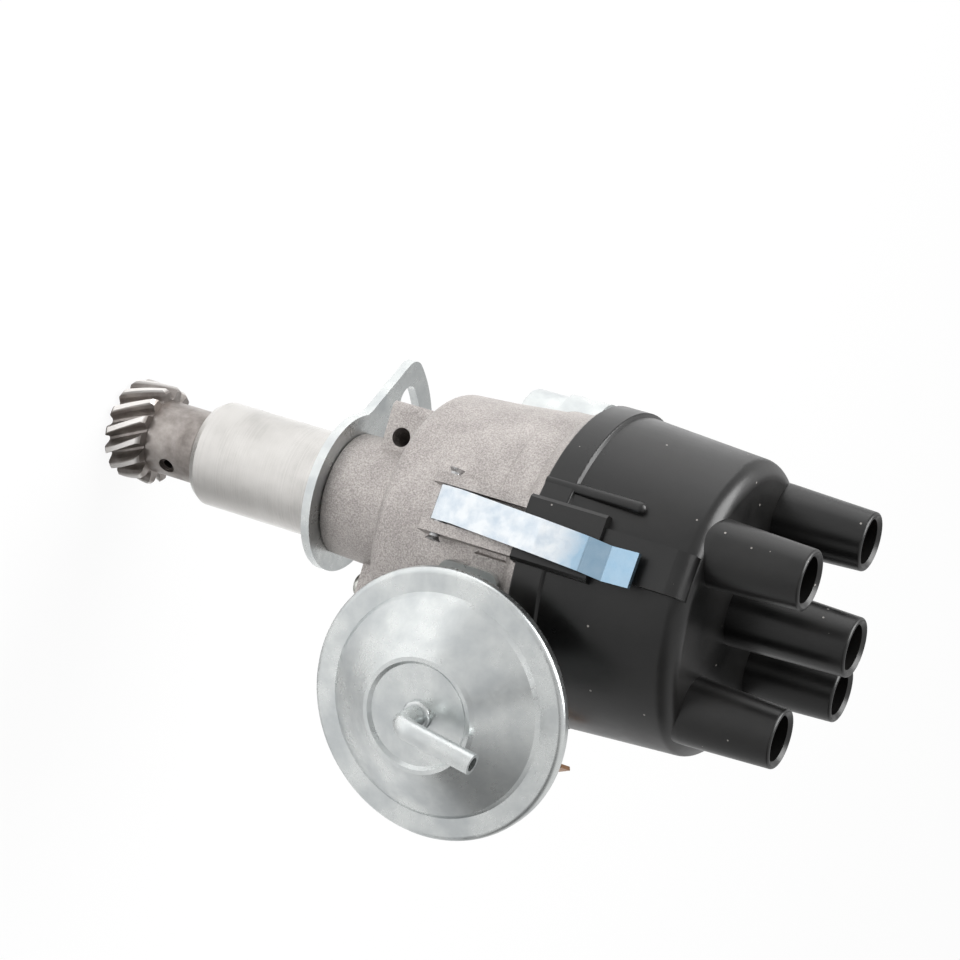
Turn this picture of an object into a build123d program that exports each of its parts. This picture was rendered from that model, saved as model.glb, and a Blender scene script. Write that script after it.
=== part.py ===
from build123d import *
from math import acos, cos, degrees, pi, radians, sin, sqrt, tan
import os

# Frame: Z runs along the drive shaft towards the cap, Z = 0 is the underside of the
# clamp plate, and the vacuum unit faces -Y. All sizes are in millimetres.

# Clearances
RUNNING = 0.05
FACE_GAP = 0.05
FREE_GAP = 0.3

# Shank and neck of the casting
SHANK_RADIUS = 14.0
SHANK_LENGTH = 39.4
SHANK_CHAMFER = 2.0
SEAT_RADIUS = 13.7
NECK_RADIUS = 16.0
NECK_DRAFT = 0.9

# Clamp plate
PLATE_THICKNESS = 2.4
PLATE_RING_RADIUS = 20.8
ARM_ANGLE = 113.5
ARM_REACH = 41.5
ARM_ROOT_HALF_WIDTH = 17.0
ARM_TIP_HALF_WIDTH = 19.0
ARM_CORNER = 6.0
SLOT_RADIUS = 31.5
SLOT_HALF_WIDTH = 4.2
SLOT_HALF_SPAN = 18.5

# Drive shaft, bushes and gear
SHAFT_RADIUS = 6.0
SPINDLE_RADIUS = 4.0
BUSH_WALL = 2.5
BUSH_LENGTH = 18.0
WASHER_THICKNESS = 1.1
HUB_RADIUS = 9.8
HUB_LENGTH = 14.8
GEAR_TEETH = 14
GEAR_MODULE = 1.5
GEAR_HELIX = 28.0
GEAR_WIDTH = 10.9
GEAR_PHASE = 9.4
GEAR_PIN_RADIUS = 2.3
GEAR_PIN_ANGLE = -59.0
GEAR_PIN_RECESS = 1.0

# Bowl of the casting
BOWL_UNDERSIDE = 26.0
BOWL_ROUND = 4.5
BOWL_RADIUS = 33.3
BOWL_FLOOR = 29.5
BOWL_WALL = 3.4
BOWL_BEND_Z = 40.0
BOWL_STEP_Z = 57.0
LEDGE_Z = 55.0
LEDGE_WIDTH = 2.0
RIM_Z = 69.0
RIM_RADIUS = BOWL_RADIUS + 6.3
RIM_WALL = 2.6
SPIGOT_DEPTH = 2.0

# Cap clips, their ears and pins
CLIP_ANGLE = -114.5
CLIP_WIDTH = 8.6
CLIP_THICKNESS = 1.0
CLIP_PIN_RADIUS = 1.3
CLIP_PIN_Z = 46.0
CLIP_PIN_REACH = RIM_RADIUS - 2.0
CLIP_SKEW = 2.7
EAR_THICKNESS = 2.8
EAR_GAP = 0.35
EAR_NOSE_Z = 41.0
PIN_OVERHANG = 1.6

# Lugs on the neck
LUG_ANGLE = 163.8
LUG_REACH = 26.3
LUG_HALF_WIDTH = 9.0
LUG_UNDERSIDE = 11.2
LUG_HOLE_RADIUS = 2.5
LUG_HOLE_REACH = 17.6
LUG_HOLE_Z = 16.0
LUG_HOLE_DEPTH = 15.0
SMALL_LUG_HALF_WIDTH = 4.5
SMALL_LUG_REACH = 26.5
SMALL_LUG_UNDERSIDE = 13.4
LUG_SCREW_REACH = 21.7

# Distributor cap
CAP_LIP_RADIUS = RIM_RADIUS + 1.0
CAP_LIP_TOP = 76.6
CAP_SIDE_RADIUS = RIM_RADIUS + 0.1
CAP_SHOULDER_RADIUS = RIM_RADIUS - 2.0
CAP_TOP = 111.9
CAP_ROUND = 4.4
CAP_WALL = 3.6
CAP_ROOF = 3.3
TOWER_PITCH_RADIUS = 28.2
TOWER_ANGLE = 47.0
TOWER_COUNT = 4
TOWER_BASE_RADIUS = 8.5
TOWER_TIP_RADIUS = 7.45
TOWER_TOP = 135.1
CENTRE_TOWER_TOP = 142.5
SOCKET_RADIUS = 5.65
SOCKET_DEPTH = 16.5
SOCKET_STEP = 3.2
CUP_OUTER_RADIUS = 4.8
POST_RADIUS = 3.0
POST_BOTTOM = 86.0
BOSS_DROP = 16.0
BOSS_RADIUS = 5.2
CLIP_BLOCK_RADIUS = RIM_RADIUS + 1.7
CLIP_BLOCK_TOP = 88.0
CLIP_BLOCK_HALF_WIDTH = 8.3
RAIL_RADIUS = RIM_RADIUS + 0.4
RAIL_HALF_WIDTH = 5.4
KEY_DROP = 1.1
RIB_ANGLE = -133.0
RIB_TOP = 93.6
RIB_RADIUS = 1.5

# Governor
CARRIER_RADIUS = 21.0
CARRIER_THICKNESS = 2.0
WEIGHT_PIVOT_RADIUS = 16.0
WEIGHT_PIVOT_ANGLE = -65.0
WEIGHT_PIN_RADIUS = 2.0
WEIGHT_THICKNESS = 5.0
WEIGHT_INNER_RADIUS = 10.8
WEIGHT_OUTER_RADIUS = 20.5
WEIGHT_SPAN = 125.0
TOE_RADIUS = 9.0
TOE_PIN_RADIUS = 1.5
SPRING_POST_RADIUS = 0.8
SPRING_POST_PITCH = 10.5
SPRING_WIRE = 0.4
SPRING_COIL_RADIUS = 1.7
CAM_TRAVEL = 12.0

# Cam and rotor
CAM_BASE_RADIUS = 9.0
CAM_PEAK_RADIUS = 9.9
CAM_NOSE_RADIUS = 3.2
CAM_LOBES = 4
CAM_LOBE_ANGLE = 45.0
SLEEVE_RADIUS = 6.5
YOKE_RADIUS = 12.4
YOKE_THICKNESS = 1.6
CAM_Z = 60.5
CAM_HEIGHT = 8.5
SEAT_TOP = 80.0
ROTOR_HUB_RADIUS = 10.5
ROTOR_TOP = 88.0
ROTOR_GAP = 0.9
ROTOR_ARM_HALF_WIDTH = 7.5
BLADE_THICKNESS = 1.8
BLADE_HALF_WIDTH = 3.6

# Breaker plates and contact set
BASE_PLATE_THICKNESS = 1.6
BASE_SCREW_PITCH = BOWL_RADIUS - 4.7
BREAKER_RADIUS = BASE_SCREW_PITCH - 3.4
BREAKER_THICKNESS = 1.6
POINTS_GAP = 0.9
COLLAR_RADIUS = 13.0
COLLAR_BORE = 10.4
BEARING_THICKNESS = 0.5
BASE_SCREW_ANGLES = (100.0, 248.0)
BASE_BOSS_RADIUS = 3.6
PIVOT_X = -15.5
PIVOT_Y = BREAKER_RADIUS - 11.2
PIVOT_RADIUS = 2.0
CONTACT_Y = 11.7 - BREAKER_RADIUS
CONTACT_SCREW_X = 6.6 - BREAKER_RADIUS
CONTACT_SCREW_Y = CONTACT_Y - 0.1
CONTACT_RADIUS = 2.2
ARM_BACK_X = -16.0
ARM_FRONT_X = -13.5
ARM_LOW_Z = 61.8
ARM_HIGH_Z = 67.0

# Vacuum unit
VACUUM_X = 27.7
VACUUM_Z = 60.0
VACUUM_RADIUS = 33.4
VACUUM_STEP_RADIUS = 26.7
VACUUM_RIDGE_RADIUS = 14.2
VACUUM_DEPTH = 10.1
SHEET = 0.9
PAD_FACE_Y = BOWL_RADIUS + 3.9
VACUUM_RIM_Y = PAD_FACE_Y + 13.2
CUP_Z = VACUUM_RIM_Y - 5.0
PAD_LEFT = -7.0
PAD_RIGHT = 32.4
PAD_LOW = 56.8
PAD_HIGH = 68.0
BRACKET_THICKNESS = 1.6
BRACKET_TOP = 65.0
ROD_SLOT_HALF_WIDTH = 3.0
ROD_WIDTH = 5.0
ROD_THICKNESS = 1.6
ROD_PIN_RADIUS = 1.5
ROD_PIN_PITCH = BREAKER_RADIUS + 1.8
ROD_PIN_ANGLE = 5.0
ROD_EYE_CLEARANCE = 0.25
NIPPLE_RADIUS = 2.6
NIPPLE_BORE = 1.7
NIPPLE_STAND = 9.6
NIPPLE_RUN = 20.6
NIPPLE_LEAN = 9.0
NIPPLE_BEND = 4.0
CUP_RADIUS = 11.0

# Condenser
CONDENSER_ANGLE = 116.6
CONDENSER_PITCH = BOWL_RADIUS + 12.2
CONDENSER_RADIUS = 9.0
CONDENSER_BOTTOM = 29.4
CONDENSER_LENGTH = 34.0
STRAP_Z = 41.0
STRAP_WIDTH = 11.0
STRAP_THICKNESS = 1.0
STRAP_SCREW_OFFSET = -13.0

# Primary terminal
TERMINAL_ANGLE = -22.5
TERMINAL_Z = 49.0
TERMINAL_BLOCK_HALF_WIDTH = 4.5
TERMINAL_BLOCK_OUT = BOWL_RADIUS + 8.0
TERMINAL_BUSH_RADIUS = 3.4
BLADE_WIDTH = 6.3
BLADE_SHEET = 1.0
BLADE_BEND_Z = 62.0
BLADE_BEND_OUT = 9.6
BLADE_TIP_Z = 82.2
BLADE_TIP_OUT = 7.0

# Screws and springs
COIL_RUNS = 14
SCREW_RADIUS = 2.0
SCREW_HEAD_RADIUS = 3.1
SCREW_HEAD_HEIGHT = 1.6

# Values that follow from the ones above
BORE_RADIUS = SHAFT_RADIUS + BUSH_WALL + RUNNING
PLATE_BORE = SHANK_RADIUS + RUNNING
SHOULDER_Z = PLATE_THICKNESS + FACE_GAP
BOWL_INNER = BOWL_RADIUS - BOWL_WALL + 0.9
LEDGE_OUTER = BOWL_INNER + LEDGE_WIDTH
RIM_BORE = RIM_RADIUS - RIM_WALL
RIM_STEP_Z = RIM_Z - SPIGOT_DEPTH
CLIP_ANGLES = (CLIP_ANGLE, CLIP_ANGLE + 180)
TOWER_ANGLES = [TOWER_ANGLE + 360 / TOWER_COUNT * n for n in range(TOWER_COUNT)]
HUB_TOP = -SHANK_LENGTH - WASHER_THICKNESS - 2 * FACE_GAP
GEAR_TOP = HUB_TOP - HUB_LENGTH
GEAR_BOTTOM = GEAR_TOP - GEAR_WIDTH
CARRIER_Z = BOWL_FLOOR + WASHER_THICKNESS + 2 * FACE_GAP + 1.0
WEIGHT_Z = CARRIER_Z + CARRIER_THICKNESS + 0.4
YOKE_Z = WEIGHT_Z + WEIGHT_THICKNESS + 0.6
SPINDLE_Z = YOKE_Z - 0.3
SPINDLE_TOP = CAM_Z + CAM_HEIGHT + 5.0
BREAKER_Z = LEDGE_Z + BASE_PLATE_THICKNESS + BEARING_THICKNESS + FACE_GAP
BREAKER_TOP = BREAKER_Z + BREAKER_THICKNESS
BLADE_TOP = ROTOR_TOP + BLADE_THICKNESS
BLADE_TIP = TOWER_PITCH_RADIUS - POST_RADIUS - ROTOR_GAP


def cylinder(radius, low, high, x=0.0, y=0.0):
    return Pos(x, y, (low + high) / 2) * Cylinder(radius, high - low)


def ring(inner, outer, low, high):
    return cylinder(outer, low, high) - cylinder(inner, low - 1, high + 1)


def block(x_range, y_range, z_range):
    size = [high - low for low, high in (x_range, y_range, z_range)]
    middle = [(high + low) / 2 for low, high in (x_range, y_range, z_range)]
    return Pos(*middle) * Box(*size)


def outline(points):
    """Closed face through (x, y) points; a third number rounds that corner."""
    face = make_face(Polyline([point[:2] for point in points], close=True))
    for point in points:
        if len(point) == 3:
            corner = face.vertices().sort_by_distance((point[0], point[1], 0))[0]
            face = fillet(corner, point[2])
    return face


def turned(points):
    """Solid of revolution about Z from an outline of (radius, z) points."""
    return revolve(Plane.XZ * outline(points), Axis.Z)


def at_angle(part, angle):
    return Rot(0, 0, angle) * part


def polar(radius, angle):
    return radius * cos(radians(angle)), radius * sin(radians(angle))


def coil(radius, wire, low, high, turns):
    """Open helical spring along Z, its wire drawn in straight runs with eight flats."""
    count = turns * COIL_RUNS
    points = [(*polar(radius, 360 * n / COIL_RUNS), low + wire + (high - low - 2 * wire) * n / count)
              for n in range(count + 1)]
    path = Polyline(*points)
    section = Plane(origin=path @ 0, z_dir=path % 0) * RegularPolygon(wire, 8)
    return sweep(section, path=path, transition=Transition.RIGHT)


def bent_strip(path, width, thickness):
    """Flat strip bent along a path that lies in the XZ plane."""
    parts = Part()
    for edge in path.edges():
        plane = Plane(origin=edge @ 0, x_dir=(0, 1, 0), z_dir=edge % 0)
        parts += sweep(plane * Rectangle(width, thickness), path=edge)
    return parts


def pan_head(radius, height):
    """Screw head standing on Z = 0 with a rounded top and a cross slot."""
    head = fillet(Cylinder(radius, height, align=(Align.CENTER, Align.CENTER, Align.MIN))
                  .edges().group_by(Axis.Z)[-1], height * 0.55)
    for angle in (0, 90):
        head -= Rot(0, 0, angle) * Pos(0, 0, height) * Box(radius * 1.1, 0.8, height * 0.9)
    return head


def screw(radius, length, head_radius, head_height):
    """Screw along Z: its head stands above Z = 0 and its shank runs below."""
    shank = Cylinder(radius, length, align=(Align.CENTER, Align.CENTER, Align.MAX))
    return pan_head(head_radius, head_height) + shank


def ear_pair():
    """The two cast ears of a clip at angle 0, running from a rounded nose up to the rim."""
    root = LEDGE_OUTER - 0.2
    top = CLIP_PIN_REACH + CLIP_PIN_RADIUS + 1.0
    side = outline([(root, EAR_NOSE_Z), (top - 1.2, EAR_NOSE_Z, 2.6), (top, EAR_NOSE_Z + 3.0, 2.0),
                    (RIM_RADIUS, RIM_Z - 0.6), (root, RIM_Z - 0.6)])
    inner = CLIP_WIDTH / 2 + EAR_GAP
    one = extrude(Plane.XZ * side, -EAR_THICKNESS)
    return Pos(0, inner, 0) * one + Pos(0, -inner - EAR_THICKNESS, 0) * one


def clip_pin():
    reach = CLIP_WIDTH / 2 + EAR_GAP + EAR_THICKNESS + PIN_OVERHANG
    pin = Rot(90, 0, 0) * Cylinder(CLIP_PIN_RADIUS, 2 * reach)
    for side in (-1, 1):
        flare = Cone(CLIP_PIN_RADIUS + 0.7, CLIP_PIN_RADIUS, 0.9)
        pin += Pos(0, side * (reach - 0.45), 0) * Rot(90 * side, 0, 0) * flare
        pin -= Pos(0, side * reach, 0) * Rot(90, 0, 0) * Cylinder(CLIP_PIN_RADIUS * 0.55, 3.0)
    return Pos(CLIP_PIN_REACH, 0, CLIP_PIN_Z) * pin


def housing():
    body = turned([
        (0, -SHANK_LENGTH), (SHANK_RADIUS - SHANK_CHAMFER * 0.6, -SHANK_LENGTH, 0.5),
        (SHANK_RADIUS, -SHANK_LENGTH + SHANK_CHAMFER), (SHANK_RADIUS, 0), (SEAT_RADIUS, 0),
        (SEAT_RADIUS, SHOULDER_Z), (NECK_RADIUS, SHOULDER_Z, 0.5),
        (NECK_RADIUS + NECK_DRAFT, BOWL_UNDERSIDE, 2.0),
        (BOWL_RADIUS - 0.3, BOWL_UNDERSIDE, BOWL_ROUND), (BOWL_RADIUS + 0.6, BOWL_BEND_Z),
        (BOWL_RADIUS + 2.3, BOWL_STEP_Z), (BOWL_RADIUS + 2.8, BOWL_STEP_Z + 0.5), (BOWL_RADIUS + 3.1, 64.8),
        (BOWL_RADIUS + 4.0, 65.4), (RIM_RADIUS - 0.9, 67.0, 1.0), (RIM_RADIUS, RIM_Z - 0.5),
        (RIM_RADIUS, RIM_Z), (0, RIM_Z)])
    lug = block((8, LUG_REACH), (-LUG_HALF_WIDTH, LUG_HALF_WIDTH), (LUG_UNDERSIDE, BOWL_FLOOR))
    lug = fillet(lug.edges().filter_by(Axis.Z).group_by(Axis.X)[-1], 2.0)
    body += at_angle(lug, LUG_ANGLE)
    small = block((8, SMALL_LUG_REACH), (-SMALL_LUG_HALF_WIDTH, SMALL_LUG_HALF_WIDTH),
                  (SMALL_LUG_UNDERSIDE, BOWL_FLOOR))
    small = fillet(small.edges().filter_by(Axis.Z).group_by(Axis.X)[-1], 3.0)
    body += at_angle(small, LUG_ANGLE + 180)
    for angle in CLIP_ANGLES:
        body += at_angle(ear_pair(), angle)
    body += block((PAD_LEFT, PAD_RIGHT), (-PAD_FACE_Y, -BOWL_RADIUS / 2), (PAD_LOW, PAD_HIGH))
    foot = block((20, CONDENSER_PITCH - CONDENSER_RADIUS - STRAP_THICKNESS),
                 (STRAP_SCREW_OFFSET - 5.5, STRAP_SCREW_OFFSET + 5.5), (STRAP_Z, STRAP_Z + STRAP_WIDTH))
    body += at_angle(foot, CONDENSER_ANGLE)
    cavity = turned([(0, BOWL_FLOOR), (BOWL_INNER, BOWL_FLOOR, 3.0), (BOWL_INNER, LEDGE_Z),
                     (LEDGE_OUTER, LEDGE_Z), (LEDGE_OUTER, RIM_STEP_Z), (RIM_BORE, RIM_STEP_Z),
                     (RIM_BORE, RIM_Z + 1), (0, RIM_Z + 1)])
    bosses = Part() + [cylinder(BASE_BOSS_RADIUS, LEDGE_Z - 9, LEDGE_Z, *polar(BASE_SCREW_PITCH, angle))
                       for angle in BASE_SCREW_ANGLES]
    body -= cavity
    body += bosses & cylinder(BOWL_RADIUS, LEDGE_Z - 10, LEDGE_Z)
    body -= cylinder(BORE_RADIUS, -SHANK_LENGTH - 1, BOWL_FLOOR + 1)
    tapped = Pos(LUG_HOLE_REACH, LUG_HALF_WIDTH, LUG_HOLE_Z) * Rot(90, 0, 0) * Cylinder(
        LUG_HOLE_RADIUS, 2 * LUG_HOLE_DEPTH)
    body -= at_angle(tapped, LUG_ANGLE)
    body -= at_angle(cylinder(SCREW_RADIUS, SMALL_LUG_UNDERSIDE - 1, SMALL_LUG_UNDERSIDE + 9, LUG_SCREW_REACH),
                     LUG_ANGLE + 180)
    for angle in CLIP_ANGLES:
        bore = Pos(CLIP_PIN_REACH, 0, CLIP_PIN_Z) * Rot(90, 0, 0) * Cylinder(CLIP_PIN_RADIUS, 30)
        notch = block((RIM_BORE - 0.5, CAP_LIP_RADIUS + 1),
                      (-CLIP_BLOCK_HALF_WIDTH - 0.2, CLIP_BLOCK_HALF_WIDTH + 0.2),
                      (RIM_Z - KEY_DROP - 0.1, RIM_Z + 1))
        body -= at_angle(bore + notch, angle)
    for angle in BASE_SCREW_ANGLES:
        body -= cylinder(SCREW_RADIUS * 0.75, LEDGE_Z - 7, LEDGE_Z + 1, *polar(BASE_SCREW_PITCH, angle))
    for x, z in BRACKET_SCREWS:
        body -= Pos(x, -PAD_FACE_Y, z) * Rot(90, 0, 0) * Cylinder(SCREW_RADIUS, 10)
    body -= block((VACUUM_X - ROD_SLOT_HALF_WIDTH, VACUUM_X + ROD_SLOT_HALF_WIDTH),
                  (-PAD_FACE_Y - 1, -BOWL_RADIUS / 4), (VACUUM_Z - 2.4, VACUUM_Z + 2.4))
    strap_hole = Pos(CONDENSER_PITCH - CONDENSER_RADIUS - 1, STRAP_SCREW_OFFSET, STRAP_Z + STRAP_WIDTH / 2)
    strap_hole *= Rot(0, 90, 0)
    body -= at_angle(strap_hole * Cylinder(SCREW_RADIUS, 9), CONDENSER_ANGLE)
    stud_hole = Pos(RIM_RADIUS - 5, 0, TERMINAL_Z) * Rot(0, 90, 0) * Cylinder(TERMINAL_BUSH_RADIUS, 20)
    body -= at_angle(stud_hole, TERMINAL_ANGLE)
    return body


BRACKET_SCREWS = ((1.5, 60.5), (10.5, 63.2))


def bush(low):
    tube = ring(SHAFT_RADIUS + RUNNING, BORE_RADIUS, low, low + BUSH_LENGTH)
    return chamfer(tube.edges().group_by(Axis.Z)[-1][0], 0.4)


def clamp_plate():
    root, tip = ARM_ROOT_HALF_WIDTH, ARM_TIP_HALF_WIDTH
    arm = outline([(6, -root), (ARM_REACH + 8, -tip - 3), (ARM_REACH + 8, tip + 3), (6, root)])
    arm &= Circle(ARM_REACH)
    arm = fillet(arm.vertices().group_by(Axis.X)[-1], ARM_CORNER)
    shape = Circle(PLATE_RING_RADIUS) + arm
    inner_corners = [v for v in shape.vertices() if abs(sqrt(v.X ** 2 + v.Y ** 2) - PLATE_RING_RADIUS) < 0.01]
    shape = fillet(inner_corners, ARM_CORNER)
    mid = SlotArc(CenterArc((0, 0), SLOT_RADIUS, -SLOT_HALF_SPAN, 2 * SLOT_HALF_SPAN), 2 * SLOT_HALF_WIDTH)
    shape = shape - Circle(PLATE_BORE) - mid
    plate = extrude(shape, PLATE_THICKNESS)
    return at_angle(plate, ARM_ANGLE)


def drive_shaft():
    shaft = turned([
        (0, GEAR_BOTTOM - 0.8), (SHAFT_RADIUS - 0.8, GEAR_BOTTOM - 0.8), (SHAFT_RADIUS, GEAR_BOTTOM),
        (SHAFT_RADIUS, SPINDLE_Z), (SPINDLE_RADIUS, SPINDLE_Z), (SPINDLE_RADIUS, SPINDLE_TOP - 0.6),
        (SPINDLE_RADIUS - 0.6, SPINDLE_TOP), (0, SPINDLE_TOP)])
    shaft -= gear_pin_bore()
    return shaft - cylinder(CAM_SCREW_RADIUS, SPINDLE_TOP - 9, SPINDLE_TOP + 1)


CAM_SCREW_RADIUS = 1.6


def gear_pin_bore():
    middle = (HUB_TOP + GEAR_TOP) / 2 - 0.8
    return Pos(0, 0, middle) * Rot(0, 0, GEAR_PIN_ANGLE) * Rot(0, 90, 0) * Cylinder(
        GEAR_PIN_RADIUS, 3 * HUB_RADIUS)


def gear_pin():
    length = 2 * (HUB_RADIUS - GEAR_PIN_RECESS)
    middle = (HUB_TOP + GEAR_TOP) / 2 - 0.8
    tube = Cylinder(GEAR_PIN_RADIUS, length) - Cylinder(GEAR_PIN_RADIUS * 0.6, length + 1)
    return Pos(0, 0, middle) * Rot(0, 0, GEAR_PIN_ANGLE) * Rot(0, 90, 0) * tube


def drive_gear():
    """Helical gear and its hub in one piece, left hand."""
    pitch = GEAR_TEETH * GEAR_MODULE / cos(radians(GEAR_HELIX)) / 2
    tip, root = pitch + GEAR_MODULE, pitch - 1.2 * GEAR_MODULE
    step = 360 / GEAR_TEETH
    points = []
    for tooth in range(GEAR_TEETH):
        middle = tooth * step
        points += [polar(root, middle - step * 0.42), polar(root + 0.5, middle - step * 0.33),
                   polar(pitch, middle - step * 0.25), polar(tip, middle - step * 0.12),
                   polar(tip, middle + step * 0.12), polar(pitch, middle + step * 0.25),
                   polar(root + 0.5, middle + step * 0.33), polar(root, middle + step * 0.42)]
    lead = 2 * pi * pitch / tan(radians(GEAR_HELIX))
    section = make_face(Polyline(points, close=True)).face()
    teeth = Solid.extrude_linear_with_rotation(
        section, (0, 0, 0), (0, 0, GEAR_WIDTH), -360 * GEAR_WIDTH / lead)
    ends = turned([(0, 0), (tip - 1, 0), (tip + 1.5, 2.5), (tip + 1.5, GEAR_WIDTH - 2.5),
                   (tip - 1, GEAR_WIDTH), (0, GEAR_WIDTH)])
    gear = Pos(0, 0, GEAR_BOTTOM) * Rot(0, 0, GEAR_PHASE) * (ends & teeth)
    hub = turned([(0, GEAR_TOP - 1), (HUB_RADIUS, GEAR_TOP - 1), (HUB_RADIUS, HUB_TOP - 0.6),
                  (HUB_RADIUS - 0.6, HUB_TOP), (0, HUB_TOP)])
    gear += hub
    gear -= cylinder(SHAFT_RADIUS, GEAR_BOTTOM - 1, HUB_TOP + 1)
    return gear - gear_pin_bore()


def governor_carrier():
    disc = cylinder(CARRIER_RADIUS, CARRIER_Z, CARRIER_Z + CARRIER_THICKNESS)
    disc += cylinder(CARRIER_RADIUS * 0.45, CARRIER_Z - 1.0, CARRIER_Z + CARRIER_THICKNESS)
    disc -= cylinder(SHAFT_RADIUS, CARRIER_Z - 2, CARRIER_Z + 5)
    for side in (0, 180):
        x, y = polar(WEIGHT_PIVOT_RADIUS, WEIGHT_PIVOT_ANGLE + side)
        disc -= cylinder(WEIGHT_PIN_RADIUS, CARRIER_Z - 2, CARRIER_Z + 5, x, y)
        x, y = polar(WEIGHT_PIVOT_RADIUS, WEIGHT_PIVOT_ANGLE + side + 90)
        disc -= cylinder(2.6, CARRIER_Z - 2, CARRIER_Z + 5, x, y)
    return disc


def weight_pins():
    pins = Part()
    for side in (0, 180):
        x, y = polar(WEIGHT_PIVOT_RADIUS, WEIGHT_PIVOT_ANGLE + side)
        pins += cylinder(WEIGHT_PIN_RADIUS, CARRIER_Z, WEIGHT_Z + WEIGHT_THICKNESS + 0.2, x, y)
        pins += cylinder(WEIGHT_PIN_RADIUS - 0.5, CARRIER_Z, YOKE_Z + YOKE_THICKNESS + 2.0, x, y)
    return pins


def flyweight():
    """Weight on the pivot at WEIGHT_PIVOT_ANGLE: a crescent with a toe that turns the yoke."""
    crescent = Circle(WEIGHT_OUTER_RADIUS) - Circle(WEIGHT_INNER_RADIUS)
    far = 60.0
    wedge = [(0, 0)] + [polar(40, angle) for angle in
                        (WEIGHT_PIVOT_ANGLE - 8, WEIGHT_PIVOT_ANGLE + WEIGHT_SPAN / 2,
                         WEIGHT_PIVOT_ANGLE + WEIGHT_SPAN)]
    crescent &= make_face(Polyline(wedge, close=True))
    crescent = fillet(crescent.vertices(), 2.0)
    pivot = Pos(*polar(WEIGHT_PIVOT_RADIUS, WEIGHT_PIVOT_ANGLE)) * Circle(4.4)
    toe = Pos(*polar(TOE_RADIUS, WEIGHT_PIVOT_ANGLE)) * Circle(TOE_PIN_RADIUS + 1.1)
    link = Rot(0, 0, WEIGHT_PIVOT_ANGLE) * Pos((WEIGHT_PIVOT_RADIUS + TOE_RADIUS) / 2, 0) * Rectangle(
        WEIGHT_PIVOT_RADIUS - TOE_RADIUS, 2 * TOE_PIN_RADIUS + 2.2)
    shape = crescent + pivot + toe + link
    shape -= Pos(*polar(WEIGHT_PIVOT_RADIUS, WEIGHT_PIVOT_ANGLE)) * Circle(WEIGHT_PIN_RADIUS + RUNNING)
    body = Pos(0, 0, WEIGHT_Z) * extrude(shape, WEIGHT_THICKNESS)
    x, y = polar(TOE_RADIUS, WEIGHT_PIVOT_ANGLE)
    return body + cylinder(TOE_PIN_RADIUS, WEIGHT_Z, YOKE_Z + YOKE_THICKNESS + 1.0, x, y)


def breaker_cam():
    """Cam sleeve: a slotted yoke below, four lobes, and the seat of the rotor arm above."""
    sleeve = turned([
        (SPINDLE_RADIUS + RUNNING, YOKE_Z - 0.1), (SLEEVE_RADIUS, YOKE_Z - 0.1),
        (SLEEVE_RADIUS, SEAT_TOP), (5.0, SEAT_TOP), (5.0, SPINDLE_TOP),
        (SPINDLE_RADIUS + RUNNING, SPINDLE_TOP)])
    yoke = Circle(YOKE_RADIUS) - Circle(SLEEVE_RADIUS - 0.5)
    for side in (0, 180):
        slot = Pos(TOE_RADIUS + 5.5, 0) * Rectangle(11 + 2 * TOE_PIN_RADIUS + 0.8,
                                                    2 * TOE_PIN_RADIUS + 2 * FREE_GAP)
        yoke -= Rot(0, 0, WEIGHT_PIVOT_ANGLE + side) * slot
    lobes = Circle(CAM_BASE_RADIUS)
    for lobe in range(CAM_LOBES):
        angle = CAM_LOBE_ANGLE + lobe * 360 / CAM_LOBES
        lobes += Pos(*polar(CAM_PEAK_RADIUS - CAM_NOSE_RADIUS, angle)) * Circle(CAM_NOSE_RADIUS)
    lobes -= Circle(SLEEVE_RADIUS - 0.5)
    sleeve += Pos(0, 0, YOKE_Z) * extrude(yoke, YOKE_THICKNESS)
    for side in (0, 180):
        x, y = polar(SPRING_POST_PITCH, WEIGHT_PIVOT_ANGLE + side + spring_post_place()[0])
        sleeve += cylinder(SPRING_POST_RADIUS, YOKE_Z, YOKE_Z + YOKE_THICKNESS + 2.0, x, y)
    sleeve += Pos(0, 0, CAM_Z) * extrude(lobes, CAM_HEIGHT)
    return sleeve - block((SLEEVE_RADIUS - 1.0, 9), (-8, 8), (CAM_Z + CAM_HEIGHT + 0.6, SEAT_TOP + 1))


def cam_screw():
    head = 4.5
    return (cylinder(head, SPINDLE_TOP + 0.15, SPINDLE_TOP + 2.4)
            + cylinder(CAM_SCREW_RADIUS, SPINDLE_TOP - 7, SPINDLE_TOP + 1)
            - block((-head, head), (-0.5, 0.5), (SPINDLE_TOP + 1.5, SPINDLE_TOP + 3)))


def oil_felt():
    return cylinder(5.0, SPINDLE_TOP + 2.7, SEAT_TOP - 0.2)


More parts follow.
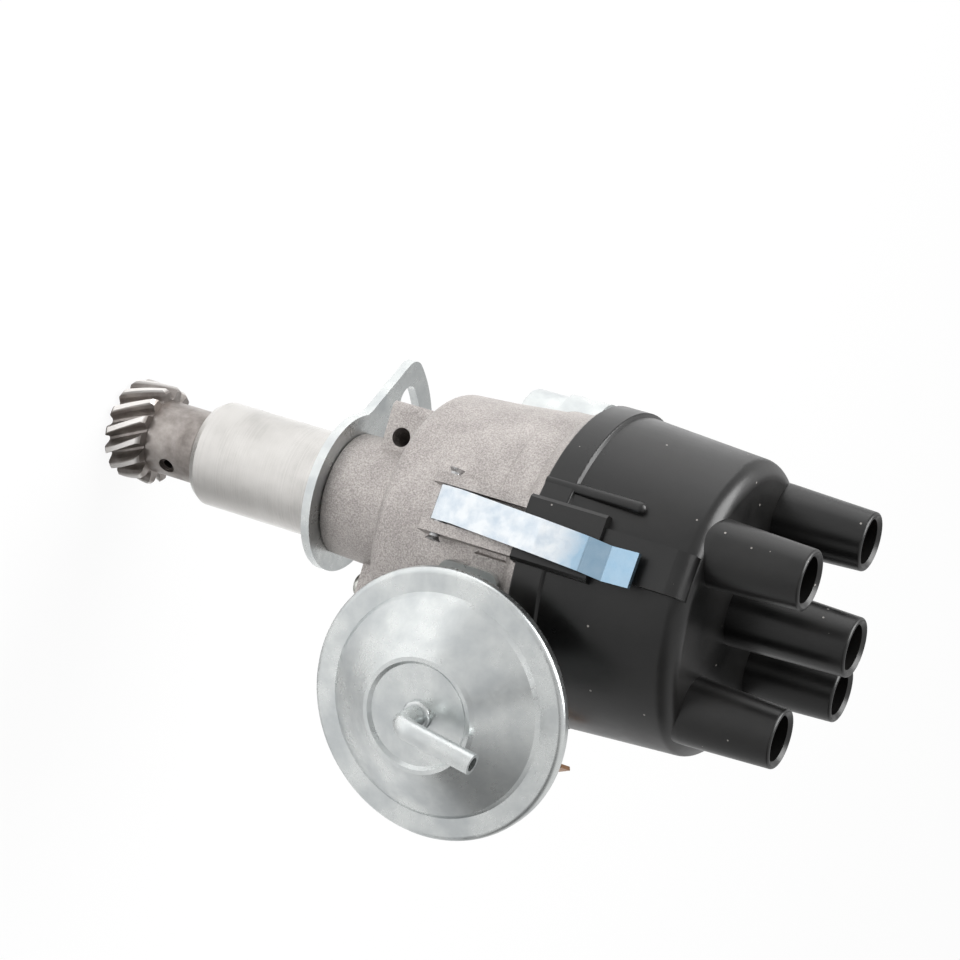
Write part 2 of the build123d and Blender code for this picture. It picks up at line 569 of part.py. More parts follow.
def rotor_arm():
    """Moulded rotor: a socket that keys on the cam, and an arm towards angle 0."""
    low = CAM_Z + CAM_HEIGHT + 1.0
    hub = turned([(0, low), (ROTOR_HUB_RADIUS, low, 0.8), (ROTOR_HUB_RADIUS - 0.6, ROTOR_TOP, 0.8),
                  (0, ROTOR_TOP)])
    arm = outline([(0, -ROTOR_HUB_RADIUS + 1.5), (BLADE_TIP - 1.5, -ROTOR_ARM_HALF_WIDTH, 2.5),
                   (BLADE_TIP - 1.5, ROTOR_ARM_HALF_WIDTH, 2.5), (0, ROTOR_HUB_RADIUS - 1.5)])
    tail = outline([(0, -8.5), (-ROTOR_HUB_RADIUS - 5, -5, 2.5), (-ROTOR_HUB_RADIUS - 5, 5, 2.5), (0, 8.5)])
    hub += Pos(0, 0, ROTOR_TOP - 5) * extrude(arm, 5)
    hub += Pos(0, 0, ROTOR_TOP - 5) * extrude(tail, 4)
    for side in (-1, 1):
        corners = [(6, ROTOR_TOP - 4), (6, low + 4), (9, low + 4), (BLADE_TIP - 4, ROTOR_TOP - 4)]
        web = Plane.XZ * outline(corners)
        hub += Pos(0, side * (ROTOR_ARM_HALF_WIDTH - 2.6) + 0.9, 0) * extrude(web, 1.8)
    socket = cylinder(SLEEVE_RADIUS, low - 1, SEAT_TOP) - block(
        (SLEEVE_RADIUS - 1.0, 9), (-8, 8), (low - 2, SEAT_TOP + 1))
    return hub - socket


def rotor_blade():
    """Brass blade on the rotor, with a raised pad under the carbon brush."""
    strip = outline([(-4, -4.0, 2.5), (BLADE_TIP - 3, -BLADE_HALF_WIDTH), (BLADE_TIP, -BLADE_HALF_WIDTH),
                     (BLADE_TIP, BLADE_HALF_WIDTH), (BLADE_TIP - 3, BLADE_HALF_WIDTH), (-4, 4.0, 2.5)])
    strip &= Circle(BLADE_TIP)
    blade = Pos(0, 0, ROTOR_TOP) * extrude(strip, BLADE_THICKNESS)
    return blade + block((BLADE_TIP - 1.5, BLADE_TIP - 0.2), (-3.2, 3.2), (ROTOR_TOP - 4, ROTOR_TOP + 1))


def base_plate():
    plate = ring(COLLAR_BORE, LEDGE_OUTER - 0.1, LEDGE_Z, LEDGE_Z + BASE_PLATE_THICKNESS)
    plate += ring(COLLAR_BORE, COLLAR_RADIUS, LEDGE_Z, BREAKER_TOP + 0.3)
    for angle in BASE_SCREW_ANGLES:
        plate -= cylinder(SCREW_RADIUS * 0.75, LEDGE_Z - 1, LEDGE_Z + 5, *polar(BASE_SCREW_PITCH, angle))
    for angle in (20, 160, 300):
        plate -= cylinder(4.0, LEDGE_Z - 1, LEDGE_Z + 5, *polar(21, angle))
    return plate


def base_screws():
    parts = Part()
    for angle in BASE_SCREW_ANGLES:
        one = screw(SCREW_RADIUS * 0.75, 6, SCREW_HEAD_RADIUS * 0.85, SCREW_HEAD_HEIGHT)
        parts += Pos(*polar(BASE_SCREW_PITCH, angle), LEDGE_Z + BASE_PLATE_THICKNESS) * one
    return parts


def bearing_ring():
    low = LEDGE_Z + BASE_PLATE_THICKNESS
    return ring(COLLAR_RADIUS + 0.3, COLLAR_RADIUS + 4, low, low + BEARING_THICKNESS)


def breaker_plate():
    shape = Circle(BREAKER_RADIUS)
    tab = Pos(BREAKER_RADIUS, 0) * RectangleRounded(11.0, 8.0, 2.0)
    shape += Rot(0, 0, ROD_PIN_ANGLE) * tab
    shape -= Circle(COLLAR_RADIUS + RUNNING)
    shape -= Pos(*polar(ROD_PIN_PITCH, ROD_PIN_ANGLE)) * Circle(ROD_PIN_RADIUS)
    shape -= Pos(PIVOT_X, PIVOT_Y) * Circle(PIVOT_RADIUS)
    shape -= Pos(CONTACT_SCREW_X, CONTACT_SCREW_Y) * Circle(SCREW_RADIUS * 0.75)
    return Pos(0, 0, BREAKER_Z) * extrude(shape, BREAKER_THICKNESS)


def rod_pin():
    x, y = polar(ROD_PIN_PITCH, ROD_PIN_ANGLE)
    return cylinder(ROD_PIN_RADIUS, BREAKER_Z, VACUUM_Z + ROD_THICKNESS / 2 + 1.0, x, y)


def pivot_post():
    post = cylinder(PIVOT_RADIUS, BREAKER_Z, ARM_HIGH_Z + 1.8, PIVOT_X, PIVOT_Y)
    return post + cylinder(PIVOT_RADIUS + 1.2, BREAKER_TOP, ARM_LOW_Z - 1.3, PIVOT_X, PIVOT_Y)


def fixed_contact():
    """Bracket of the fixed contact, bent up from a foot that is screwed to the plate."""
    face = ARM_FRONT_X + 1.9 + POINTS_GAP
    foot_y = (CONTACT_SCREW_Y - 4.4, CONTACT_Y + 3)
    foot = block((CONTACT_SCREW_X - 3.4, face + 1.2), foot_y, (BREAKER_TOP, BREAKER_TOP + 1.0))
    foot &= cylinder(BREAKER_RADIUS - 0.3, BREAKER_Z, BREAKER_TOP + 3)
    wall = block((face, face + 1.2), (CONTACT_Y - 3, CONTACT_Y + 3), (BREAKER_TOP, ARM_HIGH_Z))
    foot -= cylinder(SCREW_RADIUS * 0.75, BREAKER_Z, BREAKER_TOP + 3, CONTACT_SCREW_X, CONTACT_SCREW_Y)
    return foot + wall


def fixed_point():
    place = Pos(ARM_FRONT_X + 1.45 + POINTS_GAP, CONTACT_Y, (ARM_LOW_Z + ARM_HIGH_Z) / 2)
    return place * Rot(0, 90, 0) * Cylinder(CONTACT_RADIUS, 0.9)


def contact_screw():
    one = screw(SCREW_RADIUS * 0.75, 2.6, SCREW_HEAD_RADIUS * 0.8, SCREW_HEAD_HEIGHT * 0.85)
    return Pos(CONTACT_SCREW_X, CONTACT_SCREW_Y, BREAKER_TOP + 1.0) * one


def breaker_arm():
    """Moving contact arm: boss on the pivot, bar, and the contact point at its end."""
    bar = block((ARM_BACK_X, ARM_FRONT_X), (CONTACT_Y - 3, PIVOT_Y), (ARM_LOW_Z, ARM_HIGH_Z))
    bar += cylinder(PIVOT_RADIUS + 1.6, ARM_LOW_Z - 1.2, ARM_HIGH_Z + 0.8, PIVOT_X, PIVOT_Y)
    bar -= cylinder(PIVOT_RADIUS + RUNNING, ARM_LOW_Z - 3, ARM_HIGH_Z + 3, PIVOT_X, PIVOT_Y)
    return bar


def moving_point():
    place = Pos(ARM_FRONT_X + 0.5, CONTACT_Y, (ARM_LOW_Z + ARM_HIGH_Z) / 2)
    return place * Rot(0, 90, 0) * Cylinder(CONTACT_RADIUS, 1.0)


def rubbing_block():
    tip = -CAM_PEAK_RADIUS - RUNNING
    shape = outline([(ARM_FRONT_X, -3), (tip, -1.4, 0.5), (tip, 1.4, 0.5), (ARM_FRONT_X, 3)])
    return Pos(0, 0, ARM_LOW_Z + 0.4) * extrude(shape, ARM_HIGH_Z - ARM_LOW_Z - 0.8)


def breaker_spring():
    """Leaf spring from its post on the plate to the back of the arm."""
    path = Line((-21.3, 7.5), (-21.3, 4.0)) + TangentArc((-21.3, 4.0), (-16.9, -7.0), tangent=(0.1, -1))
    leaf = sweep(Plane(origin=path @ 0, z_dir=path % 0) * Rectangle(3.6, 0.35), path=path)
    leaf = Pos(0, 0, (ARM_LOW_Z + ARM_HIGH_Z) / 2) * leaf
    return leaf + cylinder(1.5, BREAKER_TOP, ARM_HIGH_Z, -21.3, 8.6)


def spring_post_place():
    """Angle from the weight pivot, and distance from it, of the yoke's spring post."""
    angle = degrees(acos(SPRING_POST_PITCH / WEIGHT_PIVOT_RADIUS))
    return angle, sqrt(WEIGHT_PIVOT_RADIUS ** 2 - SPRING_POST_PITCH ** 2)


def governor_springs():
    """Return springs from the weight pins to the yoke's posts, with long loops for the advance."""
    angle, length = spring_post_place()
    travel = SPRING_POST_PITCH * radians(CAM_TRAVEL)
    pin, eye = WEIGHT_PIN_RADIUS - 0.5, SPRING_POST_RADIUS + 0.4
    loops = Circle(pin + 0.8) - Circle(pin)
    long_loop = SlotCenterToCenter(travel, 2 * eye + 1.6) - SlotCenterToCenter(travel, 2 * eye)
    loops += Pos(length + travel / 2, 0) * long_loop
    spring = Pos(0, 0, -SPRING_WIRE) * extrude(loops, 2 * SPRING_WIRE)
    spring += Pos(0, 0, SPRING_COIL_RADIUS) * Rot(0, 90, 0) * coil(
        SPRING_COIL_RADIUS, SPRING_WIRE, pin + 0.3, length - eye - 0.3, 5)
    z = YOKE_Z + YOKE_THICKNESS + SPRING_WIRE + 0.5
    parts = Part()
    for side in (0, 180):
        x, y = polar(WEIGHT_PIVOT_RADIUS, WEIGHT_PIVOT_ANGLE + side)
        parts += Pos(x, y, z) * Rot(0, 0, WEIGHT_PIVOT_ANGLE + side + 90 + angle) * spring
    return parts


def in_vacuum_frame(part):
    """Moves a part turned about Z to the vacuum axis, its Z pointing out along -Y."""
    return Pos(VACUUM_X, 0, VACUUM_Z) * Rot(90, 0, 0) * part


def vacuum_front_cover():
    rim, step = VACUUM_RIM_Y, VACUUM_STEP_RADIUS
    ridge, top = VACUUM_RIDGE_RADIUS, VACUUM_RIM_Y + VACUUM_DEPTH
    bore = NIPPLE_RADIUS
    cover = turned([
        (bore, top - SHEET), (ridge - 1.8, top - SHEET), (ridge - 1.0, top), (ridge, top),
        (ridge + 1.0, top - 0.6), (step, rim + 1.2), (step + 0.9, rim + 0.2),
        (VACUUM_RADIUS, rim, 1.3), (VACUUM_RADIUS, rim - 3.4, 0.8), (VACUUM_RADIUS - 2.0, rim - 3.4),
        (VACUUM_RADIUS - 2.0, rim - 2.5), (VACUUM_RADIUS - SHEET, rim - 2.5),
        (VACUUM_RADIUS - SHEET, rim - SHEET), (step + 0.5, rim - SHEET + 0.2),
        (step - 0.5, rim + 0.3), (ridge + 0.4, top - 1.4), (ridge - 0.3, top - SHEET),
        (ridge - 1.3, top - SHEET), (ridge - 2.2, top - 2 * SHEET), (bore, top - 2 * SHEET)])
    return in_vacuum_frame(cover)


def vacuum_back_cover():
    flange = VACUUM_RIM_Y - 2.5
    hub = PAD_FACE_Y + BRACKET_THICKNESS
    edge = VACUUM_RADIUS - SHEET - 0.1
    cover = turned([
        (4.0, hub), (10.5, hub), (VACUUM_RADIUS - 4.6, flange - 0.2), (VACUUM_RADIUS - 2.7, flange),
        (edge, flange), (edge, flange + SHEET), (VACUUM_RADIUS - 3.0, flange + SHEET),
        (VACUUM_RADIUS - 5.2, flange + SHEET - 0.2), (10.1, hub + SHEET), (4.0, hub + SHEET)])
    return in_vacuum_frame(cover)


def vacuum_diaphragm():
    """Rolling rubber diaphragm, clamped at its rim and held between two cups."""
    rim = VACUUM_RIM_Y - 2.5 + SHEET
    edge = VACUUM_RADIUS - SHEET - 0.1
    low = CUP_Z + 0.9 + FACE_GAP
    high = low + 4.2
    sheet = turned([
        (3.2, low), (12.8, low), (15.8, high, 1.4), (20.8, high, 1.4), (26.2, rim), (edge, rim),
        (edge, rim + 0.6), (26.5, rim + 0.6), (21.0, high + 0.6, 1.6), (15.4, high + 0.6, 1.6),
        (12.4, low + 0.6), (3.2, low + 0.6)])
    return in_vacuum_frame(sheet)



def vacuum_rod():
    """Flat rod with an eye for the breaker plate's pin, riveted to the diaphragm cups."""
    x, y = polar(ROD_PIN_PITCH, ROD_PIN_ANGLE)
    eye_radius = ROD_PIN_RADIUS + ROD_EYE_CLEARANCE
    shape = Pos(VACUUM_X, (y - CUP_Z) / 2) * Rectangle(ROD_WIDTH, y + CUP_Z)
    shape += Pos(x, y) * Circle(eye_radius + 2.0)
    shape -= Pos(x, y) * Circle(eye_radius)
    rod = Pos(0, 0, VACUUM_Z - ROD_THICKNESS / 2) * extrude(shape, ROD_THICKNESS)
    stem = cylinder(3.1, CUP_Z, CUP_Z + 2.4 + 2 * FACE_GAP)
    rear = cylinder(CUP_RADIUS, CUP_Z, CUP_Z + 0.9)
    low = CUP_Z + 1.5 + 2 * FACE_GAP
    front = turned([(0, low), (CUP_RADIUS, low), (CUP_RADIUS, low + 3.0), (CUP_RADIUS - 0.8, low + 3.0),
                    (CUP_RADIUS - 0.8, low + 0.8), (0, low + 0.8)])
    return rod + in_vacuum_frame(stem + rear + front)


def vacuum_spring():
    low = CUP_Z + 2.4 + 2 * FACE_GAP
    high = VACUUM_RIM_Y + VACUUM_DEPTH - 2 * SHEET - FACE_GAP
    return in_vacuum_frame(coil(8.0, 0.7, low, high, 4))


def vacuum_nipple():
    """Hose pipe: it leaves the cover along -Y, then bends up beside the cap."""
    start = VACUUM_RIM_Y + VACUUM_DEPTH - 2 * SHEET
    bend = VACUUM_RIM_Y + VACUUM_DEPTH - SHEET + NIPPLE_STAND
    corner = (VACUUM_X, -bend, VACUUM_Z)
    end = (VACUUM_X + NIPPLE_RUN * sin(radians(NIPPLE_LEAN)), -bend,
           VACUUM_Z + NIPPLE_RUN * cos(radians(NIPPLE_LEAN)))
    path = FilletPolyline((VACUUM_X, -start, VACUUM_Z), corner, end, radius=NIPPLE_BEND)
    plane = Plane(origin=path @ 0, z_dir=path % 0)
    pipe = sweep(plane * Circle(NIPPLE_RADIUS), path=path)
    collar = cylinder(NIPPLE_RADIUS + 1.1, start + SHEET, start + SHEET + 1.3)
    collar = fillet(collar.edges().group_by(Axis.Z)[-1], 0.8)
    pipe += in_vacuum_frame(collar)
    return pipe - sweep(plane * Circle(NIPPLE_BORE), path=path)


def vacuum_bracket():
    plate = block((PAD_LEFT + 3, VACUUM_X + 13), (-PAD_FACE_Y - BRACKET_THICKNESS, -PAD_FACE_Y),
                  (VACUUM_Z - 11, BRACKET_TOP))
    plate = fillet(plate.edges().filter_by(Axis.Y), 3.0)
    plate -= Pos(VACUUM_X, -PAD_FACE_Y, VACUUM_Z) * Rot(90, 0, 0) * Cylinder(4.0, 10)
    for x, z in BRACKET_SCREWS:
        plate -= Pos(x, -PAD_FACE_Y, z) * Rot(90, 0, 0) * Cylinder(SCREW_RADIUS, 10)
    return plate


def bracket_screws():
    parts = Part()
    for x, z in BRACKET_SCREWS:
        one = screw(SCREW_RADIUS, 6.0, SCREW_HEAD_RADIUS, SCREW_HEAD_HEIGHT)
        parts += Pos(x, -PAD_FACE_Y - BRACKET_THICKNESS, z) * Rot(90, 0, 0) * one
    return parts


def cap_clip():
    """Spring clip at angle 0: a loop on the pin, a bowed strip, a latching kink and a tip."""
    loop = CLIP_PIN_RADIUS + RUNNING + CLIP_THICKNESS / 2
    x, z = CLIP_PIN_REACH, CLIP_PIN_Z
    tail = CenterArc((x, z, 0), loop, 150, 210)
    latch = CLIP_BLOCK_RADIUS + 0.25
    strip = FilletPolyline((x + loop, z), (x + loop + 1.2, z + 9), (latch + 1.9, CLIP_BLOCK_TOP - 14),
                           (latch + 1.9, CLIP_BLOCK_TOP - 1.5), (latch - 0.6, CLIP_BLOCK_TOP + 3.6),
                           (latch + 1.6, CLIP_BLOCK_TOP + 11.5), radius=1.2)
    wide = bent_strip(Plane.XZ * (tail + strip), CLIP_WIDTH + 2 * CLIP_SKEW + 2, CLIP_THICKNESS)
    half, low, kink, high = CLIP_WIDTH / 2, z + 4, CLIP_BLOCK_TOP + 4, CLIP_BLOCK_TOP + 20
    plan = [(-half, z - 5), (half, z - 5), (half, low), (half + CLIP_SKEW, kink), (half + CLIP_SKEW, high),
            (CLIP_SKEW - half, high), (CLIP_SKEW - half, kink), (-half, low)]
    return wide & Pos(x - 10, 0, 0) * extrude(Plane.YZ * outline(plan), 30)


def tower_bore(top):
    mouth = SOCKET_RADIUS + 1.0
    step = top - SOCKET_DEPTH + SOCKET_STEP
    return turned([(0, top - SOCKET_DEPTH), (CUP_OUTER_RADIUS, top - SOCKET_DEPTH), (CUP_OUTER_RADIUS, step),
                   (SOCKET_RADIUS, step), (SOCKET_RADIUS, top - 0.8), (mouth, top), (mouth, top + 1), (0, top + 1)])


def tower(top):
    return turned([(0, CAP_TOP - 8), (TOWER_BASE_RADIUS, CAP_TOP - 8), (TOWER_BASE_RADIUS, CAP_TOP),
                   (TOWER_TIP_RADIUS, top, 0.75), (0, top)])


def distributor_cap():
    low = RIM_Z + FACE_GAP
    cap = turned([
        (0, low), (CAP_LIP_RADIUS, low, 0.4), (CAP_LIP_RADIUS, CAP_LIP_TOP, 0.5),
        (CAP_SIDE_RADIUS, CAP_LIP_TOP + 0.5), (CAP_SHOULDER_RADIUS, CAP_TOP - CAP_ROUND),
        (CAP_SHOULDER_RADIUS - 0.4, CAP_TOP, CAP_ROUND), (0, CAP_TOP)])
    cap += cylinder(RIM_BORE - 0.15, RIM_STEP_Z + FACE_GAP, low + 1)
    for angle in CLIP_ANGLES:
        key = block((RIM_BORE - 3, CLIP_BLOCK_RADIUS), (-CLIP_BLOCK_HALF_WIDTH, CLIP_BLOCK_HALF_WIDTH),
                    (RIM_Z - KEY_DROP, CLIP_BLOCK_TOP))
        key = chamfer(key.edges().filter_by(Axis.Z).group_by(Axis.X)[-1], 0.8)
        key -= block((0, RIM_BORE - 0.2), (-10, 10), (RIM_Z - KEY_DROP - 1, RIM_Z))
        rail = block((RIM_BORE - 3, RAIL_RADIUS), (-RAIL_HALF_WIDTH, RAIL_HALF_WIDTH),
                     (CLIP_BLOCK_TOP - 2, CAP_TOP - 0.8))
        rail = fillet(rail.edges().filter_by(Axis.Y).group_by(Axis.X)[-1].sort_by(Axis.Z)[-1], CAP_ROUND)
        cap += at_angle(key + rail, angle)
    rib_z = (RIM_Z + FACE_GAP, RIB_TOP)
    rib = cylinder(RIB_RADIUS, *rib_z, CAP_SIDE_RADIUS - 0.4)
    rib += Pos(CAP_SIDE_RADIUS - 0.4, 0, RIB_TOP) * Sphere(RIB_RADIUS)
    cap += at_angle(rib, RIB_ANGLE)
    for angle in TOWER_ANGLES:
        cap += Pos(*polar(TOWER_PITCH_RADIUS, angle), 0) * tower(TOWER_TOP)
    cap += tower(CENTRE_TOWER_TOP)
    inner = RIM_BORE - 0.15 - CAP_WALL / 1.6
    roof = CAP_TOP - CAP_ROOF
    cavity = turned([(0, RIM_STEP_Z - 1), (inner, RIM_STEP_Z - 1), (inner - 0.7, roof, 2.5), (0, roof)])
    for angle in TOWER_ANGLES:
        x, y = polar(TOWER_PITCH_RADIUS, angle)
        cavity -= cylinder(BOSS_RADIUS, roof - BOSS_DROP, roof + 1, x, y)
    cavity -= cylinder(BOSS_RADIUS + 0.8, roof - BOSS_DROP + 1, roof + 1)
    cap -= cavity
    for angle in TOWER_ANGLES:
        place = Pos(*polar(TOWER_PITCH_RADIUS, angle), 0)
        cap -= place * tower_bore(TOWER_TOP)
        cap -= place * cylinder(POST_RADIUS, POST_BOTTOM, TOWER_TOP - SOCKET_DEPTH + 1)
    cap -= tower_bore(CENTRE_TOWER_TOP)
    cap -= cylinder(POST_RADIUS - 0.5, BRUSH_TOP, CENTRE_TOWER_TOP - SOCKET_DEPTH + 1)
    return cap - cylinder(BRUSH_RADIUS + RUNNING, roof - BOSS_DROP - 2, SPRING_TOP)


BRUSH_RADIUS = 2.9
BRUSH_LENGTH = 10.0
BRUSH_BOTTOM = BLADE_TOP + 0.1
BRUSH_TOP = BRUSH_BOTTOM + BRUSH_LENGTH
SPRING_TOP = BRUSH_TOP + 6.5


def terminal_insert(bottom, radius, top):
    """Brass post moulded into the cap, with a cup at the foot of the tower's socket."""
    floor = top - SOCKET_DEPTH
    post = cylinder(radius, bottom, floor)
    rim = floor + SOCKET_STEP - 0.1
    cup = turned([(0, floor), (CUP_OUTER_RADIUS, floor), (CUP_OUTER_RADIUS, rim),
                  (CUP_OUTER_RADIUS - 0.8, rim), (CUP_OUTER_RADIUS - 0.8, floor + 0.8), (0, floor + 0.8)])
    return post + cup


def cap_terminals():
    parts = Part()
    for angle in TOWER_ANGLES:
        parts += Pos(*polar(TOWER_PITCH_RADIUS, angle), 0) * terminal_insert(
            POST_BOTTOM, POST_RADIUS, TOWER_TOP)
    return parts


def centre_terminal():
    return terminal_insert(SPRING_TOP, POST_RADIUS - 0.5, CENTRE_TOWER_TOP) + cylinder(
        BRUSH_RADIUS, SPRING_TOP - 1.0, SPRING_TOP)


def carbon_brush():
    brush = cylinder(BRUSH_RADIUS, BRUSH_BOTTOM, BRUSH_TOP)
    return fillet(brush.edges().group_by(Axis.Z)[0], 0.8)


def brush_spring():
    return coil(2.1, 0.3, BRUSH_TOP + FACE_GAP, SPRING_TOP - 1.0 - FACE_GAP, 4)


def condenser():
    top = CONDENSER_BOTTOM + CONDENSER_LENGTH
    can = turned([(0, CONDENSER_BOTTOM), (CONDENSER_RADIUS, CONDENSER_BOTTOM, 2.0),
                  (CONDENSER_RADIUS, top, 0.8), (CONDENSER_RADIUS - 1.6, top), (CONDENSER_RADIUS - 1.6, top - 1),
                  (2.2, top - 1), (2.0, top + 3.0), (0, top + 3.0)])
    return at_angle(Pos(CONDENSER_PITCH, 0, 0) * can, CONDENSER_ANGLE)


def condenser_strap():
    """Strap clipped round the can, with a foot that is screwed to the bowl."""
    high = STRAP_Z + STRAP_WIDTH
    band = Pos(CONDENSER_PITCH, 0, 0) * ring(CONDENSER_RADIUS, CONDENSER_RADIUS + STRAP_THICKNESS, STRAP_Z, high)
    inner = CONDENSER_PITCH - CONDENSER_RADIUS - STRAP_THICKNESS
    foot = block((inner, inner + STRAP_THICKNESS), (STRAP_SCREW_OFFSET - 5, -1.0), (STRAP_Z, high))
    foot = fillet(foot.edges().filter_by(Axis.X).group_by(Axis.Y)[0], 3.0)
    foot -= Pos(CONDENSER_PITCH, 0, 0) * cylinder(CONDENSER_RADIUS, STRAP_Z - 1, high + 1)
    foot -= Pos(inner, STRAP_SCREW_OFFSET, (STRAP_Z + high) / 2) * Rot(0, 90, 0) * Cylinder(SCREW_RADIUS, 8)
    return at_angle(band + foot, CONDENSER_ANGLE)


def condenser_screw():
    place = Pos(CONDENSER_PITCH - CONDENSER_RADIUS, STRAP_SCREW_OFFSET, STRAP_Z + STRAP_WIDTH / 2)
    one = screw(SCREW_RADIUS, 5.0, SCREW_HEAD_RADIUS, SCREW_HEAD_HEIGHT)
    return at_angle(place * Rot(0, 90, 0) * one, CONDENSER_ANGLE)


def terminal_insulator():
    body = block((BOWL_INNER + 1.5, TERMINAL_BLOCK_OUT), (-TERMINAL_BLOCK_HALF_WIDTH, TERMINAL_BLOCK_HALF_WIDTH),
                 (TERMINAL_Z - 6, TERMINAL_Z + 4.6))
    body = fillet(body.edges().filter_by(Axis.X), 1.5)
    body -= turned([(0, BOWL_BEND_Z), (BOWL_RADIUS + 0.6, BOWL_BEND_Z),
                    (BOWL_RADIUS + 2.3, BOWL_STEP_Z), (0, BOWL_STEP_Z)])
    along = Rot(0, 90, 0)
    bush_start = BOWL_INNER - 1.0
    body += Pos((bush_start + TERMINAL_BLOCK_OUT) / 2, 0, TERMINAL_Z) * along * Cylinder(
        TERMINAL_BUSH_RADIUS, TERMINAL_BLOCK_OUT - bush_start)
    body -= Pos(RIM_RADIUS, 0, TERMINAL_Z) * along * Cylinder(SCREW_RADIUS, 20)
    return at_angle(body, TERMINAL_ANGLE)


def primary_terminal():
    """Bronze blade: flat under the nut, stepped outward, then up past the cap's lip."""
    inner = TERMINAL_BLOCK_OUT + BLADE_SHEET / 2
    path = FilletPolyline((inner, TERMINAL_Z - 4.5), (inner, BLADE_BEND_Z - 4), (inner + BLADE_BEND_OUT, BLADE_BEND_Z + 4),
                          (inner + BLADE_BEND_OUT, BLADE_TIP_Z - 6), (inner + BLADE_TIP_OUT, BLADE_TIP_Z), radius=1.5)
    blade = bent_strip(Plane.XZ * path, BLADE_WIDTH, BLADE_SHEET)
    blade -= Pos(inner, 0, TERMINAL_Z) * Rot(0, 90, 0) * Cylinder(SCREW_RADIUS, 8)
    return at_angle(blade, TERMINAL_ANGLE)


def terminal_stud():
    inner = BOWL_INNER - 2.6
    outer = TERMINAL_BLOCK_OUT + BLADE_SHEET
    stud = Pos((inner + outer + 4.2) / 2, 0, TERMINAL_Z) * Rot(0, 90, 0) * Cylinder(
        SCREW_RADIUS, outer + 4.2 - inner)
    head = Pos(BOWL_INNER - 1.8, 0, TERMINAL_Z) * Rot(0, 90, 0) * Cylinder(SCREW_HEAD_RADIUS, 1.6)
    nut = Pos(outer, 0, TERMINAL_Z) * Rot(0, 90, 0) * extrude(RegularPolygon(4.0, 6), 2.6)
    return at_angle(stud + head + nut, TERMINAL_ANGLE)


def lug_screw():
    place = Pos(LUG_SCREW_REACH, 0, SMALL_LUG_UNDERSIDE) * Rot(180, 0, 0)
    return at_angle(place * screw(SCREW_RADIUS, 8.0, SCREW_HEAD_RADIUS, 2.2), LUG_ANGLE + 180)


def both_sides(part):
    return Part() + [at_angle(part, angle) for angle in CLIP_ANGLES]


NODES = {
    "housing": housing,
    "lower_bush": lambda: bush(-SHANK_LENGTH),
    "upper_bush": lambda: bush(BOWL_FLOOR - BUSH_LENGTH - 1.0),
    "clamp_plate": clamp_plate,
    "drive_shaft": drive_shaft,
    "drive_gear": drive_gear,
    "gear_pin": gear_pin,
    "lower_thrust_washer": lambda: ring(SHAFT_RADIUS + RUNNING, HUB_RADIUS - 0.3, HUB_TOP + FACE_GAP,
                                        HUB_TOP + FACE_GAP + WASHER_THICKNESS),
    "upper_thrust_washer": lambda: ring(SHAFT_RADIUS + RUNNING, HUB_RADIUS, BOWL_FLOOR + FACE_GAP,
                                        BOWL_FLOOR + FACE_GAP + WASHER_THICKNESS),
    "governor_carrier": governor_carrier,
    "weight_pins": weight_pins,
    "flyweight_a": flyweight,
    "flyweight_b": lambda: at_angle(flyweight(), 180),
    "governor_springs": governor_springs,
    "breaker_cam": breaker_cam,
    "cam_screw": cam_screw,
    "oil_felt": oil_felt,
    "rotor_arm": rotor_arm,
    "rotor_blade": rotor_blade,
    "base_plate": base_plate,
    "base_screws": base_screws,
    "bearing_ring": bearing_ring,
    "breaker_plate": breaker_plate,
    "rod_pin": rod_pin,
    "pivot_post": pivot_post,
    "fixed_contact": fixed_contact,
    "fixed_point": fixed_point,
    "contact_screw": contact_screw,
    "breaker_arm": breaker_arm,
    "moving_point": moving_point,
    "rubbing_block": rubbing_block,
    "breaker_spring": breaker_spring,
    "vacuum_front_cover": vacuum_front_cover,
    "vacuum_back_cover": vacuum_back_cover,
    "vacuum_diaphragm": vacuum_diaphragm,
    "vacuum_rod": vacuum_rod,
    "vacuum_spring": vacuum_spring,
    "vacuum_nipple": vacuum_nipple,
    "vacuum_bracket": vacuum_bracket,
    "bracket_screws": bracket_screws,
    "clip_pins": lambda: both_sides(clip_pin()),
    "front_clip": lambda: at_angle(cap_clip(), CLIP_ANGLE),
    "rear_clip": lambda: at_angle(cap_clip(), CLIP_ANGLE + 180),
    "distributor_cap": distributor_cap,
    "cap_terminals": cap_terminals,
    "centre_terminal": centre_terminal,
    "carbon_brush": carbon_brush,
    "brush_spring": brush_spring,
    "condenser": condenser,
    "condenser_strap": condenser_strap,
    "condenser_screw": condenser_screw,
    "terminal_insulator": terminal_insulator,
    "primary_terminal": primary_terminal,
    "terminal_stud": terminal_stud,
    "lug_screw": lug_screw,
}

os.makedirs("parts", exist_ok=True)
for name, make in NODES.items():
    part = make()
    export_step(part, "parts/" + name + ".step")
    print(name, len(part.solids()), round(part.volume, 1))
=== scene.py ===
# %% [markdown]
# # An ignition distributor
# The object turns a shaft with an engine's camshaft and hands out sparks through the black
# cap. Its solids come from the construction model, which is the fixed frame here. This file
# gives every piece its finish, builds again the few whose shape needs more than facets, and
# sets up the light and the camera.

# %% Load the frame
from math import pi

import bmesh
import bpy
from mathutils import Matrix, Vector


